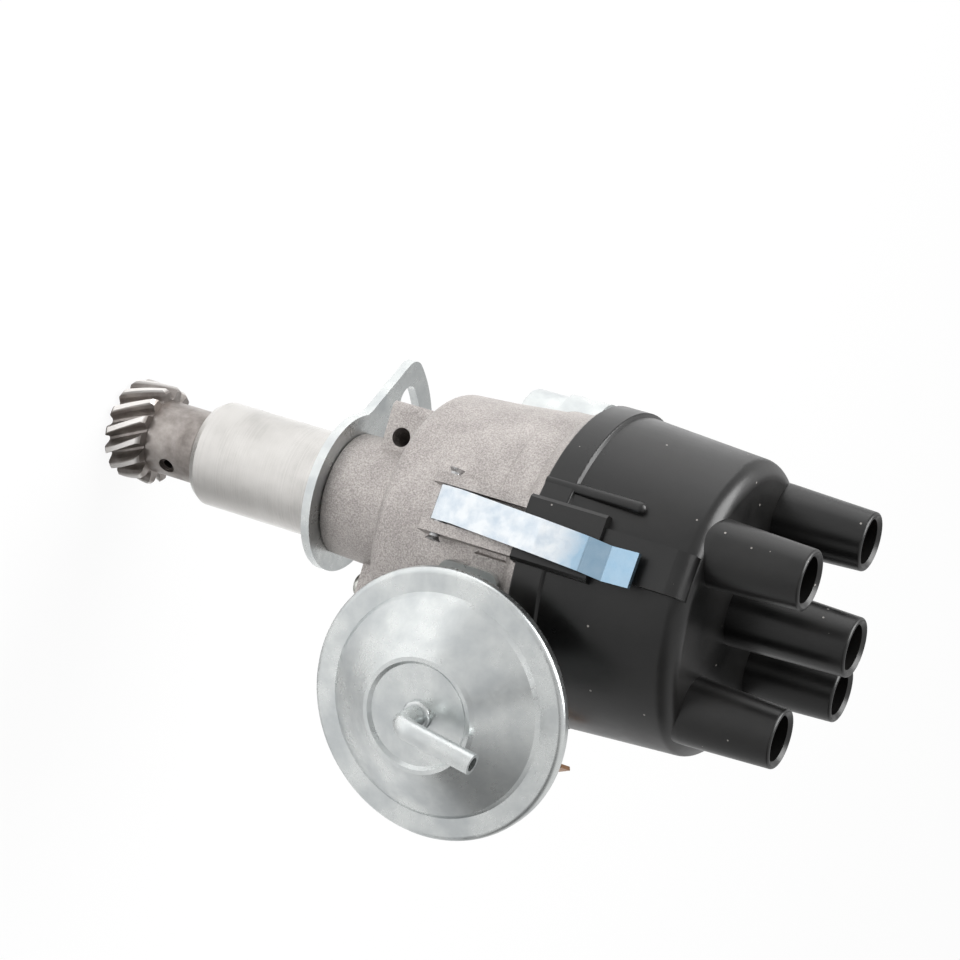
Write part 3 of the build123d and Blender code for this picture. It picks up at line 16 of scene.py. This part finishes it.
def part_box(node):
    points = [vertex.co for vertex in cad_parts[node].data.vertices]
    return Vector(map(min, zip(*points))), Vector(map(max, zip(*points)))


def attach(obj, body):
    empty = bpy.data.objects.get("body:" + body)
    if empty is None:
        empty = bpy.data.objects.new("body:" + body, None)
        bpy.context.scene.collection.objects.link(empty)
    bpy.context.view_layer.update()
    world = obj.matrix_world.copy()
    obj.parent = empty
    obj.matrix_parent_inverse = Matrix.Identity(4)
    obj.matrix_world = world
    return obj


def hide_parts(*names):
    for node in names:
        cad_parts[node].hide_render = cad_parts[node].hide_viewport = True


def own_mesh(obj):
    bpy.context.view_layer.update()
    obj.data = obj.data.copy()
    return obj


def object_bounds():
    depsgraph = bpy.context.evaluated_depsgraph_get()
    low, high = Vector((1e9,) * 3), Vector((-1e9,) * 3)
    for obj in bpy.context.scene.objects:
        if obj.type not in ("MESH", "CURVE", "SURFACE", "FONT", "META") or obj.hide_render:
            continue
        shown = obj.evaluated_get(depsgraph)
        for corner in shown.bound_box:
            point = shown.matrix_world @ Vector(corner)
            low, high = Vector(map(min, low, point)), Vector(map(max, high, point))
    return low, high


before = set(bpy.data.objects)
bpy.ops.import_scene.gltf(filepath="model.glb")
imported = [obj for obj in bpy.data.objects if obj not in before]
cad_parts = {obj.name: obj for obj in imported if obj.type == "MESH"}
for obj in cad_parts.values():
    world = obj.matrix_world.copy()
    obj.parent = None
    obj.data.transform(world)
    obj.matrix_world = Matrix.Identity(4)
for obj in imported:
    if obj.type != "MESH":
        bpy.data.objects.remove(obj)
low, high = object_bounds()
scene = bpy.context.scene

MM = 0.001


# %% [markdown]
# ## Colours and nodes
# Colours are easiest to judge as the hex values of a picture, but a renderer adds light in
# linear numbers. One function turns the first into the second. A second one adds a shader
# node of any kind, sets its options and links its inputs, so that each material below reads
# as a short list of what feeds what.

# %% Helpers for colours and nodes
def hexcolour(text):
    """Linear red, green, blue and alpha from an sRGB hex value."""
    channels = [int(text[i:i + 2], 16) / 255 for i in (0, 2, 4)]
    linear = [c / 12.92 if c <= 0.04045 else ((c + 0.055) / 1.055) ** 2.4 for c in channels]
    return (*linear, 1.0)


def add(tree, kind, inputs=None, steps=None, **settings):
    """Adds a node and returns it. Steps are the (position, hex) stops of a colour ramp."""
    node = tree.nodes.new("ShaderNode" + kind)
    for name, value in settings.items():
        setattr(node, name, value)
    for name, value in (inputs or {}).items():
        socket = node.inputs[name]
        if isinstance(value, bpy.types.Node):
            value = value.outputs[0]
        if isinstance(value, bpy.types.NodeSocket):
            tree.links.new(value, socket)
        else:
            socket.default_value = value
    if steps:
        stops = node.color_ramp.elements
        stops.remove(stops[1])
        stops[0].position, stops[0].color = steps[0][0], hexcolour(steps[0][1])
        for position, colour in steps[1:]:
            stops.new(position).color = hexcolour(colour)
    return node


def new_material(name, **surface):
    """A material whose shader starts from plain values for metal, roughness and the like."""
    material = bpy.data.materials.new(name)
    material.use_nodes = True
    shader = material.node_tree.nodes["Principled BSDF"]
    for socket, value in surface.items():
        shader.inputs[socket.replace("_", " ")].default_value = value
    return material, material.node_tree, shader


print("helpers ready")


# %% [markdown]
# ## The camera
# The photograph was taken with a long lens, from the side of the vacuum unit and from above
# the clamp plate. The object lies on its side in it, so the camera is rolled instead of the
# object: its own right and up directions, solved from the rims of the cap, the towers and
# the dish, are the first two columns of its matrix.

# %% Camera
camera_right = Vector((-0.15635, 0.46128, 0.87337))
camera_up = Vector((-0.95028, 0.17083, -0.26034))
camera_back = camera_right.cross(camera_up).normalized()
camera_place = Vector((-0.20703, -0.62610, 0.33390))
LENS_MM = 107.32

camera_data = bpy.data.cameras.new("photo_camera")
camera_data.lens = LENS_MM
camera_data.sensor_width = 36
camera_data.clip_end = 20
camera = bpy.data.objects.new("photo_camera", camera_data)
scene.collection.objects.link(camera)
camera.matrix_world = Matrix((
    (camera_right.x, camera_up.x, camera_back.x, camera_place.x),
    (camera_right.y, camera_up.y, camera_back.y, camera_place.y),
    (camera_right.z, camera_up.z, camera_back.z, camera_place.z),
    (0, 0, 0, 1)))
scene.camera = camera
scene.view_settings.view_transform = "Standard"
print("camera at", [round(c, 3) for c in camera_place])

# %% [markdown]
# ## The floor
# A product photograph on white has white all round. The floor shows white to the camera but
# still takes the object's shadow, because a Light Path node gives camera rays most of their
# white from an emission and the rest from the lit floor.

# %% Floor
FLOOR_GAP = 0.2 * MM
FLOOR_HALF_SIZE = 4.0
FLOOR_WHITE_SHARE = 0.93
FLOOR_Z = low.z - FLOOR_GAP

floor_mesh = bpy.data.meshes.new("floor")
shape = bmesh.new()
bmesh.ops.create_grid(shape, x_segments=1, y_segments=1, size=FLOOR_HALF_SIZE)
bmesh.ops.translate(shape, verts=shape.verts, vec=(0, 0, FLOOR_Z))
shape.to_mesh(floor_mesh)
shape.free()
floor = bpy.data.objects.new("floor", floor_mesh)
scene.collection.objects.link(floor)
floor.visible_shadow = False

floor_paint, tree, shader = new_material("white_floor", Roughness=0.9)
shader.inputs["Base Color"].default_value = hexcolour("F4F4F4")
path = add(tree, "LightPath")
white = add(tree, "Emission", {"Color": hexcolour("FFFFFF"), "Strength": 1.0})
share = add(tree, "Math", {0: path.outputs["Is Camera Ray"], 1: FLOOR_WHITE_SHARE},
            operation="MULTIPLY")
blend = add(tree, "MixShader", {"Fac": share, 1: shader, 2: white})
tree.links.new(blend.outputs[0], tree.nodes["Material Output"].inputs["Surface"])
floor_mesh.materials.append(floor_paint)
print("floor at", round(FLOOR_Z * 1000, 2), "mm")


# %% [markdown]
# ## The studio
# Plated and turned metal looks like what it mirrors. A studio is white behind the object,
# above it and at its right, and darker below it at the gear's end. The world gives mirrored
# rays that room: a soft dark lobe round one direction, and a thin darker line where the white
# table ends. Diffuse rays see an even white, so that the lamps and the world together light a
# surface about as its colour is written.

# %% World
DARK_SIDE = (camera_back * 0.30 - camera_right * 0.45 - camera_up * 0.80).normalized()
ROOM_BRIGHT, ROOM_DARK = 0.82, 0.20
TABLE_END_HEIGHT, TABLE_END_DARK = 0.10, 0.35
DIFFUSE_STRENGTH = 0.55

world = bpy.data.worlds.new("studio")
scene.world = world
world.use_nodes = True
tree = world.node_tree
background = tree.nodes["Background"]
toward = add(tree, "TexCoord").outputs["Generated"]
facing = add(tree, "VectorMath", {0: toward, 1: DARK_SIDE}, operation="DOT_PRODUCT")
room = add(tree, "MapRange", {"Value": facing.outputs["Value"], "From Min": 0.42, "From Max": 0.95,
                              "To Min": ROOM_BRIGHT, "To Max": ROOM_DARK},
           interpolation_type="SMOOTHSTEP")
height = add(tree, "VectorMath", {0: toward, 1: camera_up}, operation="DOT_PRODUCT")
off_line = add(tree, "Math", {0: height.outputs["Value"], 1: TABLE_END_HEIGHT}, operation="ADD")
line = add(tree, "Math", {0: off_line}, operation="ABSOLUTE")
table_end = add(tree, "MapRange", {"Value": line, "From Min": 0.02, "From Max": 0.16,
                                   "To Min": TABLE_END_DARK, "To Max": 1.0},
                interpolation_type="SMOOTHSTEP")
mirrored = add(tree, "Math", {0: room, 1: table_end}, operation="MULTIPLY")
path = add(tree, "LightPath")
glossy = add(tree, "Mix", {0: path.outputs["Is Glossy Ray"], 2: DIFFUSE_STRENGTH, 3: mirrored},
             data_type="FLOAT")
direct = add(tree, "Math", {0: path.outputs["Is Camera Ray"],
                            1: path.outputs["Is Transmission Ray"]}, operation="MAXIMUM")
strength = add(tree, "Math", {0: direct, 1: glossy}, operation="MAXIMUM")
background.inputs["Color"].default_value = hexcolour("FFFFFF")
tree.links.new(strength.outputs[0], background.inputs["Strength"])
print("world ready")


# %% [markdown]
# ## The lamps
# A wide lamp hangs over the object. The key stands at the gear's end beside the camera, where
# the turned shank and the dish mirror it, and another at the cap's end lights the shoulder
# of the cap. Wide lamps give the long, soft highlights of the photograph.

# %% Lamps
def lamp(name, place, aim, width, height, watts):
    """A rectangular area lamp at place that points at aim."""
    data = bpy.data.lights.new(name, "AREA")
    data.shape = "RECTANGLE"
    data.size, data.size_y = width, height
    data.energy = watts
    lamp_object = bpy.data.objects.new(name, data)
    scene.collection.objects.link(lamp_object)
    away = (Vector(place) - Vector(aim)).normalized()
    lamp_object.location = place
    lamp_object.rotation_euler = away.to_track_quat("Z", "Y").to_euler()


middle = (low + high) / 2
over = middle + camera_up * 0.75 - camera_back * 0.10
left = middle - camera_right * 0.52 + camera_up * 0.34 + camera_back * 0.52
right = middle + camera_right * 0.70 + camera_up * 0.24 + camera_back * 0.22
lamp("soft_lamp_over_the_object", over, middle, 0.80, 0.50, 2.0)
lamp("key_at_the_gear_end", left, middle, 0.65, 0.42, 2.6)
lamp("lamp_at_the_cap_end", right, middle, 0.60, 0.60, 8.0)


# %% [markdown]
# ## Die-cast aluminium
# The bowl and its neck are cast in a steel die and then blasted, which leaves a dull, slightly
# warm grey with a sandy grain. Real grit is about a tenth of a millimetre; it is drawn at a
# third, so that it shows. The shank below the clamp plate is turned on a lathe afterwards, so
# it is bright, with fine rings round the axis. Both are one piece of metal, so one material
# holds both and the height along the shaft picks between them. The inner wall of the bowl
# and of the tapped hole is bare metal too.

# %% Cast and turned aluminium
cast_aluminium, tree, shader = new_material("die_cast_aluminium", Metallic=1.0)
place = add(tree, "TexCoord").outputs["Object"]
split = add(tree, "SeparateXYZ", {0: place})
turned = add(tree, "MapRange", {"Value": split.outputs["Z"],
                                "From Min": 0.9 * MM, "From Max": 0.2 * MM})

GRIT_SCALE, PIT_SCALE, CLOUD_SCALE = 2600.0, 1500.0, 85.0
grit = add(tree, "TexNoise", {"Vector": place, "Scale": GRIT_SCALE, "Detail": 3.0,
                              "Roughness": 0.65})
pits = add(tree, "TexVoronoi", {"Vector": place, "Scale": PIT_SCALE})
clouds = add(tree, "TexNoise", {"Vector": place, "Scale": CLOUD_SCALE, "Detail": 5.0,
                                "Roughness": 0.6})
tone = add(tree, "Mix", {0: 0.72, 2: clouds.outputs["Fac"], 3: grit.outputs["Fac"]},
           data_type="FLOAT")
cast_colour = add(tree, "ValToRGB", {"Fac": tone},
                  steps=[(0.38, "928D8B"), (0.50, "ADA8A5"), (0.62, "C6C1BE")])
RINGS_PER_METRE = 3600.0
along = add(tree, "Math", {0: split.outputs["Z"], 1: RINGS_PER_METRE}, operation="MULTIPLY")
lathe = add(tree, "CombineXYZ", {2: along})
rings = add(tree, "TexNoise", {"Vector": lathe, "Scale": 1.0, "Detail": 2.0})
cut = add(tree, "Mix", {0: 0.45, 2: clouds.outputs["Fac"], 3: rings.outputs["Fac"]},
          data_type="FLOAT")
turned_colour = add(tree, "ValToRGB", {"Fac": cut},
                    steps=[(0.30, "A6A4A1"), (0.48, "C4C2BF"), (0.70, "D2D0CD")])
colour = add(tree, "Mix", {0: turned, 6: cast_colour, 7: turned_colour}, data_type="RGBA")
tree.links.new(colour.outputs[2], shader.inputs["Base Color"])
rough_cast = add(tree, "MapRange", {"Value": grit.outputs["Fac"], "From Min": 0.3, "From Max": 0.7,
                                    "To Min": 0.50, "To Max": 0.64})
rough = add(tree, "Mix", {0: turned, 2: rough_cast, 3: 0.24}, data_type="FLOAT")
tree.links.new(rough.outputs[0], shader.inputs["Roughness"])

sand = add(tree, "Math", {0: pits.outputs["Distance"], 1: 0.6, 2: grit.outputs["Fac"]},
           operation="MULTIPLY_ADD")
height = add(tree, "Mix", {0: turned, 2: sand, 3: rings.outputs["Fac"]}, data_type="FLOAT")
depth = add(tree, "Mix", {0: turned, 2: 0.13 * MM, 3: 0.008 * MM}, data_type="FLOAT")
relief = add(tree, "Bump", {"Height": height, "Distance": depth, "Strength": 1.0})
tree.links.new(relief.outputs[0], shader.inputs["Normal"])
print("material", cast_aluminium.name)


# %% [markdown]
# ## Zinc plate
# The dish, the clamp plate, the clips and the condenser can are sheet steel with a film of
# zinc. The bath leaves soft clouds some millimetres wide, a little darker where the film is
# thinner, and a fine mottle that only shows where the metal mirrors something dark. Noise
# gives the clouds, and small cells change the roughness for the mottle. The clips' hooked
# ends carry a painted blue reflection: past a height along the shaft the colour turns blue.

# %% Zinc-plated sheet
MOTTLE_MM = 0.9
OUT_OF_REACH_MM = 1000.0


def zinc_plate(name, light, dark, cloud_mm, roughness, mottle, blue_reflection_from_mm=OUT_OF_REACH_MM):
    """Clouded plate with a painted blue reflection past a height along the shaft."""
    material, tree, shader = new_material(name, Metallic=1.0)
    place = add(tree, "TexCoord").outputs["Object"]
    clouds = add(tree, "TexNoise", {"Vector": place, "Scale": 1 / (cloud_mm * MM), "Detail": 5.0,
                                    "Roughness": 0.55})
    tint = add(tree, "ValToRGB", {"Fac": clouds.outputs["Fac"]},
               steps=[(0.34, dark), (0.62, light)])
    along = add(tree, "SeparateXYZ", {0: place})
    uneven = add(tree, "Math", {0: clouds.outputs["Fac"], 1: 16.0 * MM, 2: along.outputs["Z"]},
                 operation="MULTIPLY_ADD")
    # Painted reflection: past this height along the shaft the plate's colour turns blue.
    painted_blue_reflection = add(tree, "MapRange", {"Value": uneven, "From Min": (blue_reflection_from_mm + 8.0) * MM,
                                  "From Max": (blue_reflection_from_mm + 14.0) * MM, "To Max": 0.75})
    film_and_painted_reflection = add(tree, "Mix", {0: painted_blue_reflection, 6: tint, 7: hexcolour("7FA8C4")}, data_type="RGBA")
    tree.links.new(film_and_painted_reflection.outputs[2], shader.inputs["Base Color"])
    warp = add(tree, "VectorMath", {0: clouds.outputs["Color"], 1: (0.0012,) * 3, 2: place},
               operation="MULTIPLY_ADD")
    cells = add(tree, "TexVoronoi", {"Vector": warp, "Scale": 1 / (MOTTLE_MM * MM)})
    cell = add(tree, "SeparateColor", {0: cells.outputs["Color"]})
    fine = add(tree, "MapRange", {"Value": cell.outputs[0], "To Min": -mottle, "To Max": mottle})
    rough = add(tree, "MapRange", {"Value": clouds.outputs["Fac"],
                                   "From Min": 0.3, "From Max": 0.7,
                                   "To Min": roughness + 0.05, "To Max": roughness - 0.04})
    both = add(tree, "Math", {0: rough, 1: fine}, operation="ADD")
    tree.links.new(both.outputs[0], shader.inputs["Roughness"])
    skin = add(tree, "TexNoise", {"Vector": place, "Scale": 900.0, "Detail": 1.0})
    relief = add(tree, "Bump", {"Height": skin.outputs["Fac"], "Distance": 0.004 * MM,
                                "Strength": 1.0})
    tree.links.new(relief.outputs[0], shader.inputs["Normal"])
    print("material", name)
    return material


zinc_sheet = zinc_plate("zinc_plated_steel_sheet", "D4D7D6", "BDC1C2", 9.0, 0.30, 0.03)
# The clips' hooked ends get a painted blue reflection past 80 mm along the shaft.
zinc_spring = zinc_plate("zinc_plated_spring_steel", "DEE2E5", "BCC7D1", 4.0, 0.16, 0.05,
                         blue_reflection_from_mm=80.0)
zinc_fastener = zinc_plate("zinc_plated_fastener", "C9C9C4", "A6A6A0", 3.0, 0.30, 0.04)


# %% [markdown]
# ## Worked steel, brass and bronze
# The gear and its hub are steel that has been run in oil: the film dries to a warm grey in
# patches. The shaft, the cam and the pins are ground bright. The same patchy surface with
# other colours makes the drawn brass, the rolled bronze and the pressed bronze of the
# bushes, which differ in how rough they are and how large their patches grow. The crests of
# the gear's teeth carry a painted highlight: past a radius the colour turns a pale grey.

# %% Steel, brass and bronze
def worked_metal(name, light, dark, roughness, patch_mm, highlight_radius_mm=OUT_OF_REACH_MM):
    """Patchy metal with a painted highlight past a radius from the shaft's axis."""
    material, tree, shader = new_material(name, Metallic=1.0)
    place = add(tree, "TexCoord").outputs["Object"]
    patches = add(tree, "TexNoise", {"Vector": place, "Scale": 1 / (patch_mm * MM), "Detail": 6.0,
                                     "Roughness": 0.62})
    tint = add(tree, "ValToRGB", {"Fac": patches.outputs["Fac"]},
               steps=[(0.32, dark), (0.66, light)])
    across = add(tree, "VectorMath", {0: place, 1: (1.0, 1.0, 0.0)}, operation="MULTIPLY")
    radius = add(tree, "VectorMath", {0: across}, operation="LENGTH").outputs["Value"]
    # Painted highlight: past this radius from the axis the colour turns pale grey.
    painted_highlight = add(tree, "MapRange", {"Value": radius, "From Min": (highlight_radius_mm - 0.5) * MM,
                                  "From Max": highlight_radius_mm * MM})
    colour = add(tree, "Mix", {0: painted_highlight, 6: tint, 7: hexcolour("DEDBD8")}, data_type="RGBA")
    tree.links.new(colour.outputs[2], shader.inputs["Base Color"])
    rough = add(tree, "MapRange", {"Value": patches.outputs["Fac"],
                                   "From Min": 0.3, "From Max": 0.7,
                                   "To Min": roughness + 0.10, "To Max": roughness - 0.04})
    tree.links.new(rough.outputs[0], shader.inputs["Roughness"])
    grain = add(tree, "TexNoise", {"Vector": place, "Scale": 1900.0, "Detail": 2.0})
    relief = add(tree, "Bump", {"Height": grain.outputs["Fac"], "Distance": 0.012 * MM,
                                "Strength": 0.8})
    tree.links.new(relief.outputs[0], shader.inputs["Normal"])
    print("material", name)
    return material


# The gear's tooth crests get a painted highlight past 13.2 mm from the axis.
gear_steel = worked_metal("oiled_case_hardened_steel", "A8A29E", "7A7470", 0.33, 6.0,
                          highlight_radius_mm=13.2)
pin_steel = worked_metal("blackened_roll_pin_steel", "5A5552", "3A3634", 0.38, 3.0)
ground_steel = worked_metal("ground_steel", "C4C5C6", "A8A9AA", 0.22, 9.0)
weight_steel = worked_metal("sintered_steel", "7B7A78", "5F5E5C", 0.45, 4.0)
brass = worked_metal("drawn_brass", "D9B46A", "B8924E", 0.24, 7.0)
bronze_blade = worked_metal("rolled_bronze", "C08A55", "8E5E34", 0.28, 5.0)
bush_bronze = worked_metal("sintered_bronze", "A77C4C", "845C34", 0.48, 3.0)
contact_metal = worked_metal("ground_tungsten", "9A9B9E", "7C7D80", 0.30, 3.0)


# %% [markdown]
# ## Mouldings, cloth and felt
# The cap is moulded from a black phenolic filled with powder. It leaves the die with a satin
# skin, some dull clouds, and a few tiny pale specks of the filler and of dust. A speck is a
# cell of a Voronoi pattern whose random number is near the top, cut small by its distance
# from the middle of the cell. The rotor, the brown rubbing block, the nylon ring, the rubber
# cloth of the diaphragm and the felt share the build, with other colours and specks.

# %% Phenolic, nylon, rubber and felt
def moulding(name, base, haze, speck, roughness, speck_mm, speck_share):
    """A clouded skin in which a share of the cells each hold one speck."""
    material, tree, shader = new_material(name, IOR=1.50)
    place = add(tree, "TexCoord").outputs["Object"]
    clouds = add(tree, "TexNoise", {"Vector": place, "Scale": 60.0, "Detail": 6.0,
                                    "Roughness": 0.62})
    ground = add(tree, "ValToRGB", {"Fac": clouds.outputs["Fac"]},
                 steps=[(0.40, base), (0.80, haze)])
    cells = add(tree, "TexVoronoi", {"Vector": place, "Scale": 1 / (speck_mm * MM)})
    chance = add(tree, "SeparateColor", {0: cells.outputs["Color"]})
    chosen = add(tree, "Math", {0: chance.outputs[0], 1: 1.0 - speck_share},
                 operation="GREATER_THAN")
    centre = add(tree, "Math", {0: cells.outputs["Distance"], 1: 0.22}, operation="LESS_THAN")
    dots = add(tree, "Math", {0: chosen, 1: centre}, operation="MULTIPLY")
    colour = add(tree, "Mix", {0: dots, 6: ground, 7: hexcolour(speck)}, data_type="RGBA")
    tree.links.new(colour.outputs[2], shader.inputs["Base Color"])
    rough = add(tree, "MapRange", {"Value": clouds.outputs["Fac"],
                                   "From Min": 0.3, "From Max": 0.7,
                                   "To Min": roughness - 0.05, "To Max": roughness + 0.07})
    tree.links.new(rough.outputs[0], shader.inputs["Roughness"])
    skin = add(tree, "TexNoise", {"Vector": place, "Scale": 420.0, "Detail": 4.0})
    relief = add(tree, "Bump", {"Height": skin.outputs["Fac"], "Distance": 0.02 * MM,
                                "Strength": 0.7})
    tree.links.new(relief.outputs[0], shader.inputs["Normal"])
    print("material", name)
    return material


black_phenolic = moulding("black_phenolic_moulding", "090909", "161514", "8C8884", 0.32, 1.3, 0.012)
brown_phenolic = moulding("brown_laminated_phenolic", "5A3322", "6E4530", "8A5A3A", 0.42, 0.8, 0.20)
natural_nylon = moulding("natural_nylon", "E4DFCF", "ECE8DA", "F0EDE2", 0.38, 1.0, 0.02)
rubber_cloth = moulding("rubber_coated_cloth", "262628", "323234", "3C3C3E", 0.62, 0.5, 0.30)
pressed_carbon = moulding("pressed_carbon", "1A1A1B", "242425", "3A3A3C", 0.50, 0.4, 0.15)
wool_felt = moulding("oiled_wool_felt", "8C7D5C", "99895F", "A99B78", 0.90, 0.4, 0.45)


# %% [markdown]
# ## Which finish goes where
# Every node of the construction model that stays visible is listed once.

# %% Give the nodes their finishes
finishes = {
    cast_aluminium: ["housing"],
    zinc_sheet: ["vacuum_front_cover", "vacuum_back_cover", "clamp_plate", "condenser",
                 "condenser_strap", "vacuum_nipple", "vacuum_bracket", "base_plate",
                 "breaker_plate"],
    zinc_spring: ["front_clip", "rear_clip"],
    zinc_fastener: ["bracket_screws", "condenser_screw", "lug_screw", "base_screws",
                    "contact_screw", "cam_screw", "vacuum_rod", "fixed_contact", "breaker_arm"],
    gear_steel: ["drive_gear"],
    pin_steel: ["gear_pin"],
    ground_steel: ["drive_shaft", "lower_thrust_washer", "breaker_cam", "governor_carrier",
                   "weight_pins", "governor_springs", "rod_pin", "pivot_post", "breaker_spring",
                   "vacuum_spring", "brush_spring", "clip_pins"],
    weight_steel: ["flyweight_a", "flyweight_b"],
    black_phenolic: ["distributor_cap", "rotor_arm", "terminal_insulator"],
    brown_phenolic: ["rubbing_block", "upper_thrust_washer"],
    natural_nylon: ["bearing_ring"],
    rubber_cloth: ["vacuum_diaphragm"],
    pressed_carbon: ["carbon_brush"],
    wool_felt: ["oil_felt"],
    brass: ["cap_terminals", "centre_terminal", "rotor_blade", "terminal_stud"],
    bronze_blade: ["primary_terminal"],
    bush_bronze: ["lower_bush", "upper_bush"],
    contact_metal: ["fixed_point", "moving_point"],
}
dressed = set()
for finish, names in finishes.items():
    for name in names:
        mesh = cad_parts[name].data
        mesh.materials.clear()
        mesh.materials.append(finish)
        dressed.add(name)
print("dressed", len(dressed), "left bare", sorted(set(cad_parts) - dressed))


# %% [markdown]
# ## The springs that give way
# The spring behind the diaphragm and the one above the carbon brush grow shorter when their
# joints move, which a rigid solid can't. Each is wound again here from round wire, inside the
# box of the solid that it stands for: a circle of the wire's size is spun round the axis and
# moved a little along it at each step. The wound spring is a rigid solid on the housing's body
# too, and keeps its length.

# %% Wind the two compression springs
TURNS = 4
STEPS_PER_TURN = 40
WIRE_SIDES = 12


def wind_spring(node, along, wire_mm):
    """A round-wire spring wound along an axis inside a node's box."""
    corner, far_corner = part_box(node)
    along = Vector(along)
    size = far_corner - corner
    length = abs(size.dot(along))
    wire = wire_mm * MM
    reach = max(abs(value) for value in size - along * size.dot(along)) / 2 - wire
    pitch = (length - 2 * wire) / TURNS
    start = (corner + far_corner) / 2 - along * (length / 2 - wire)
    side = along.orthogonal().normalized()
    tangent = side.cross(along)
    frame_matrix = Matrix((side, along, tangent)).transposed().to_4x4()
    frame_matrix.translation = start + side * reach

    shape = bmesh.new()
    bmesh.ops.create_circle(shape, segments=WIRE_SIDES, radius=wire, matrix=frame_matrix)
    steps = TURNS * STEPS_PER_TURN
    bmesh.ops.spin(shape, geom=shape.verts[:] + shape.edges[:], cent=start, axis=along,
                   dvec=along * (pitch / STEPS_PER_TURN), angle=2 * pi * TURNS, steps=steps,
                   use_merge=False)
    bmesh.ops.holes_fill(shape, edges=[edge for edge in shape.edges if edge.is_boundary], sides=0)
    bmesh.ops.recalc_face_normals(shape, faces=shape.faces[:])
    mesh = bpy.data.meshes.new(node + "_wound")
    shape.to_mesh(mesh)
    shape.free()
    mesh.shade_smooth()
    mesh.materials.append(ground_steel)
    piece = bpy.data.objects.new(node + "_wound", mesh)
    scene.collection.objects.link(piece)
    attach(piece, "housing_body")
    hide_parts(node)
    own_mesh(piece)
    print(node, "wound in", steps, "steps,", round(length * 1000, 2), "mm long, faces",
          len(mesh.polygons))


wind_spring("vacuum_spring", (0, -1, 0), 0.7)
wind_spring("brush_spring", (0, 0, 1), 0.3)
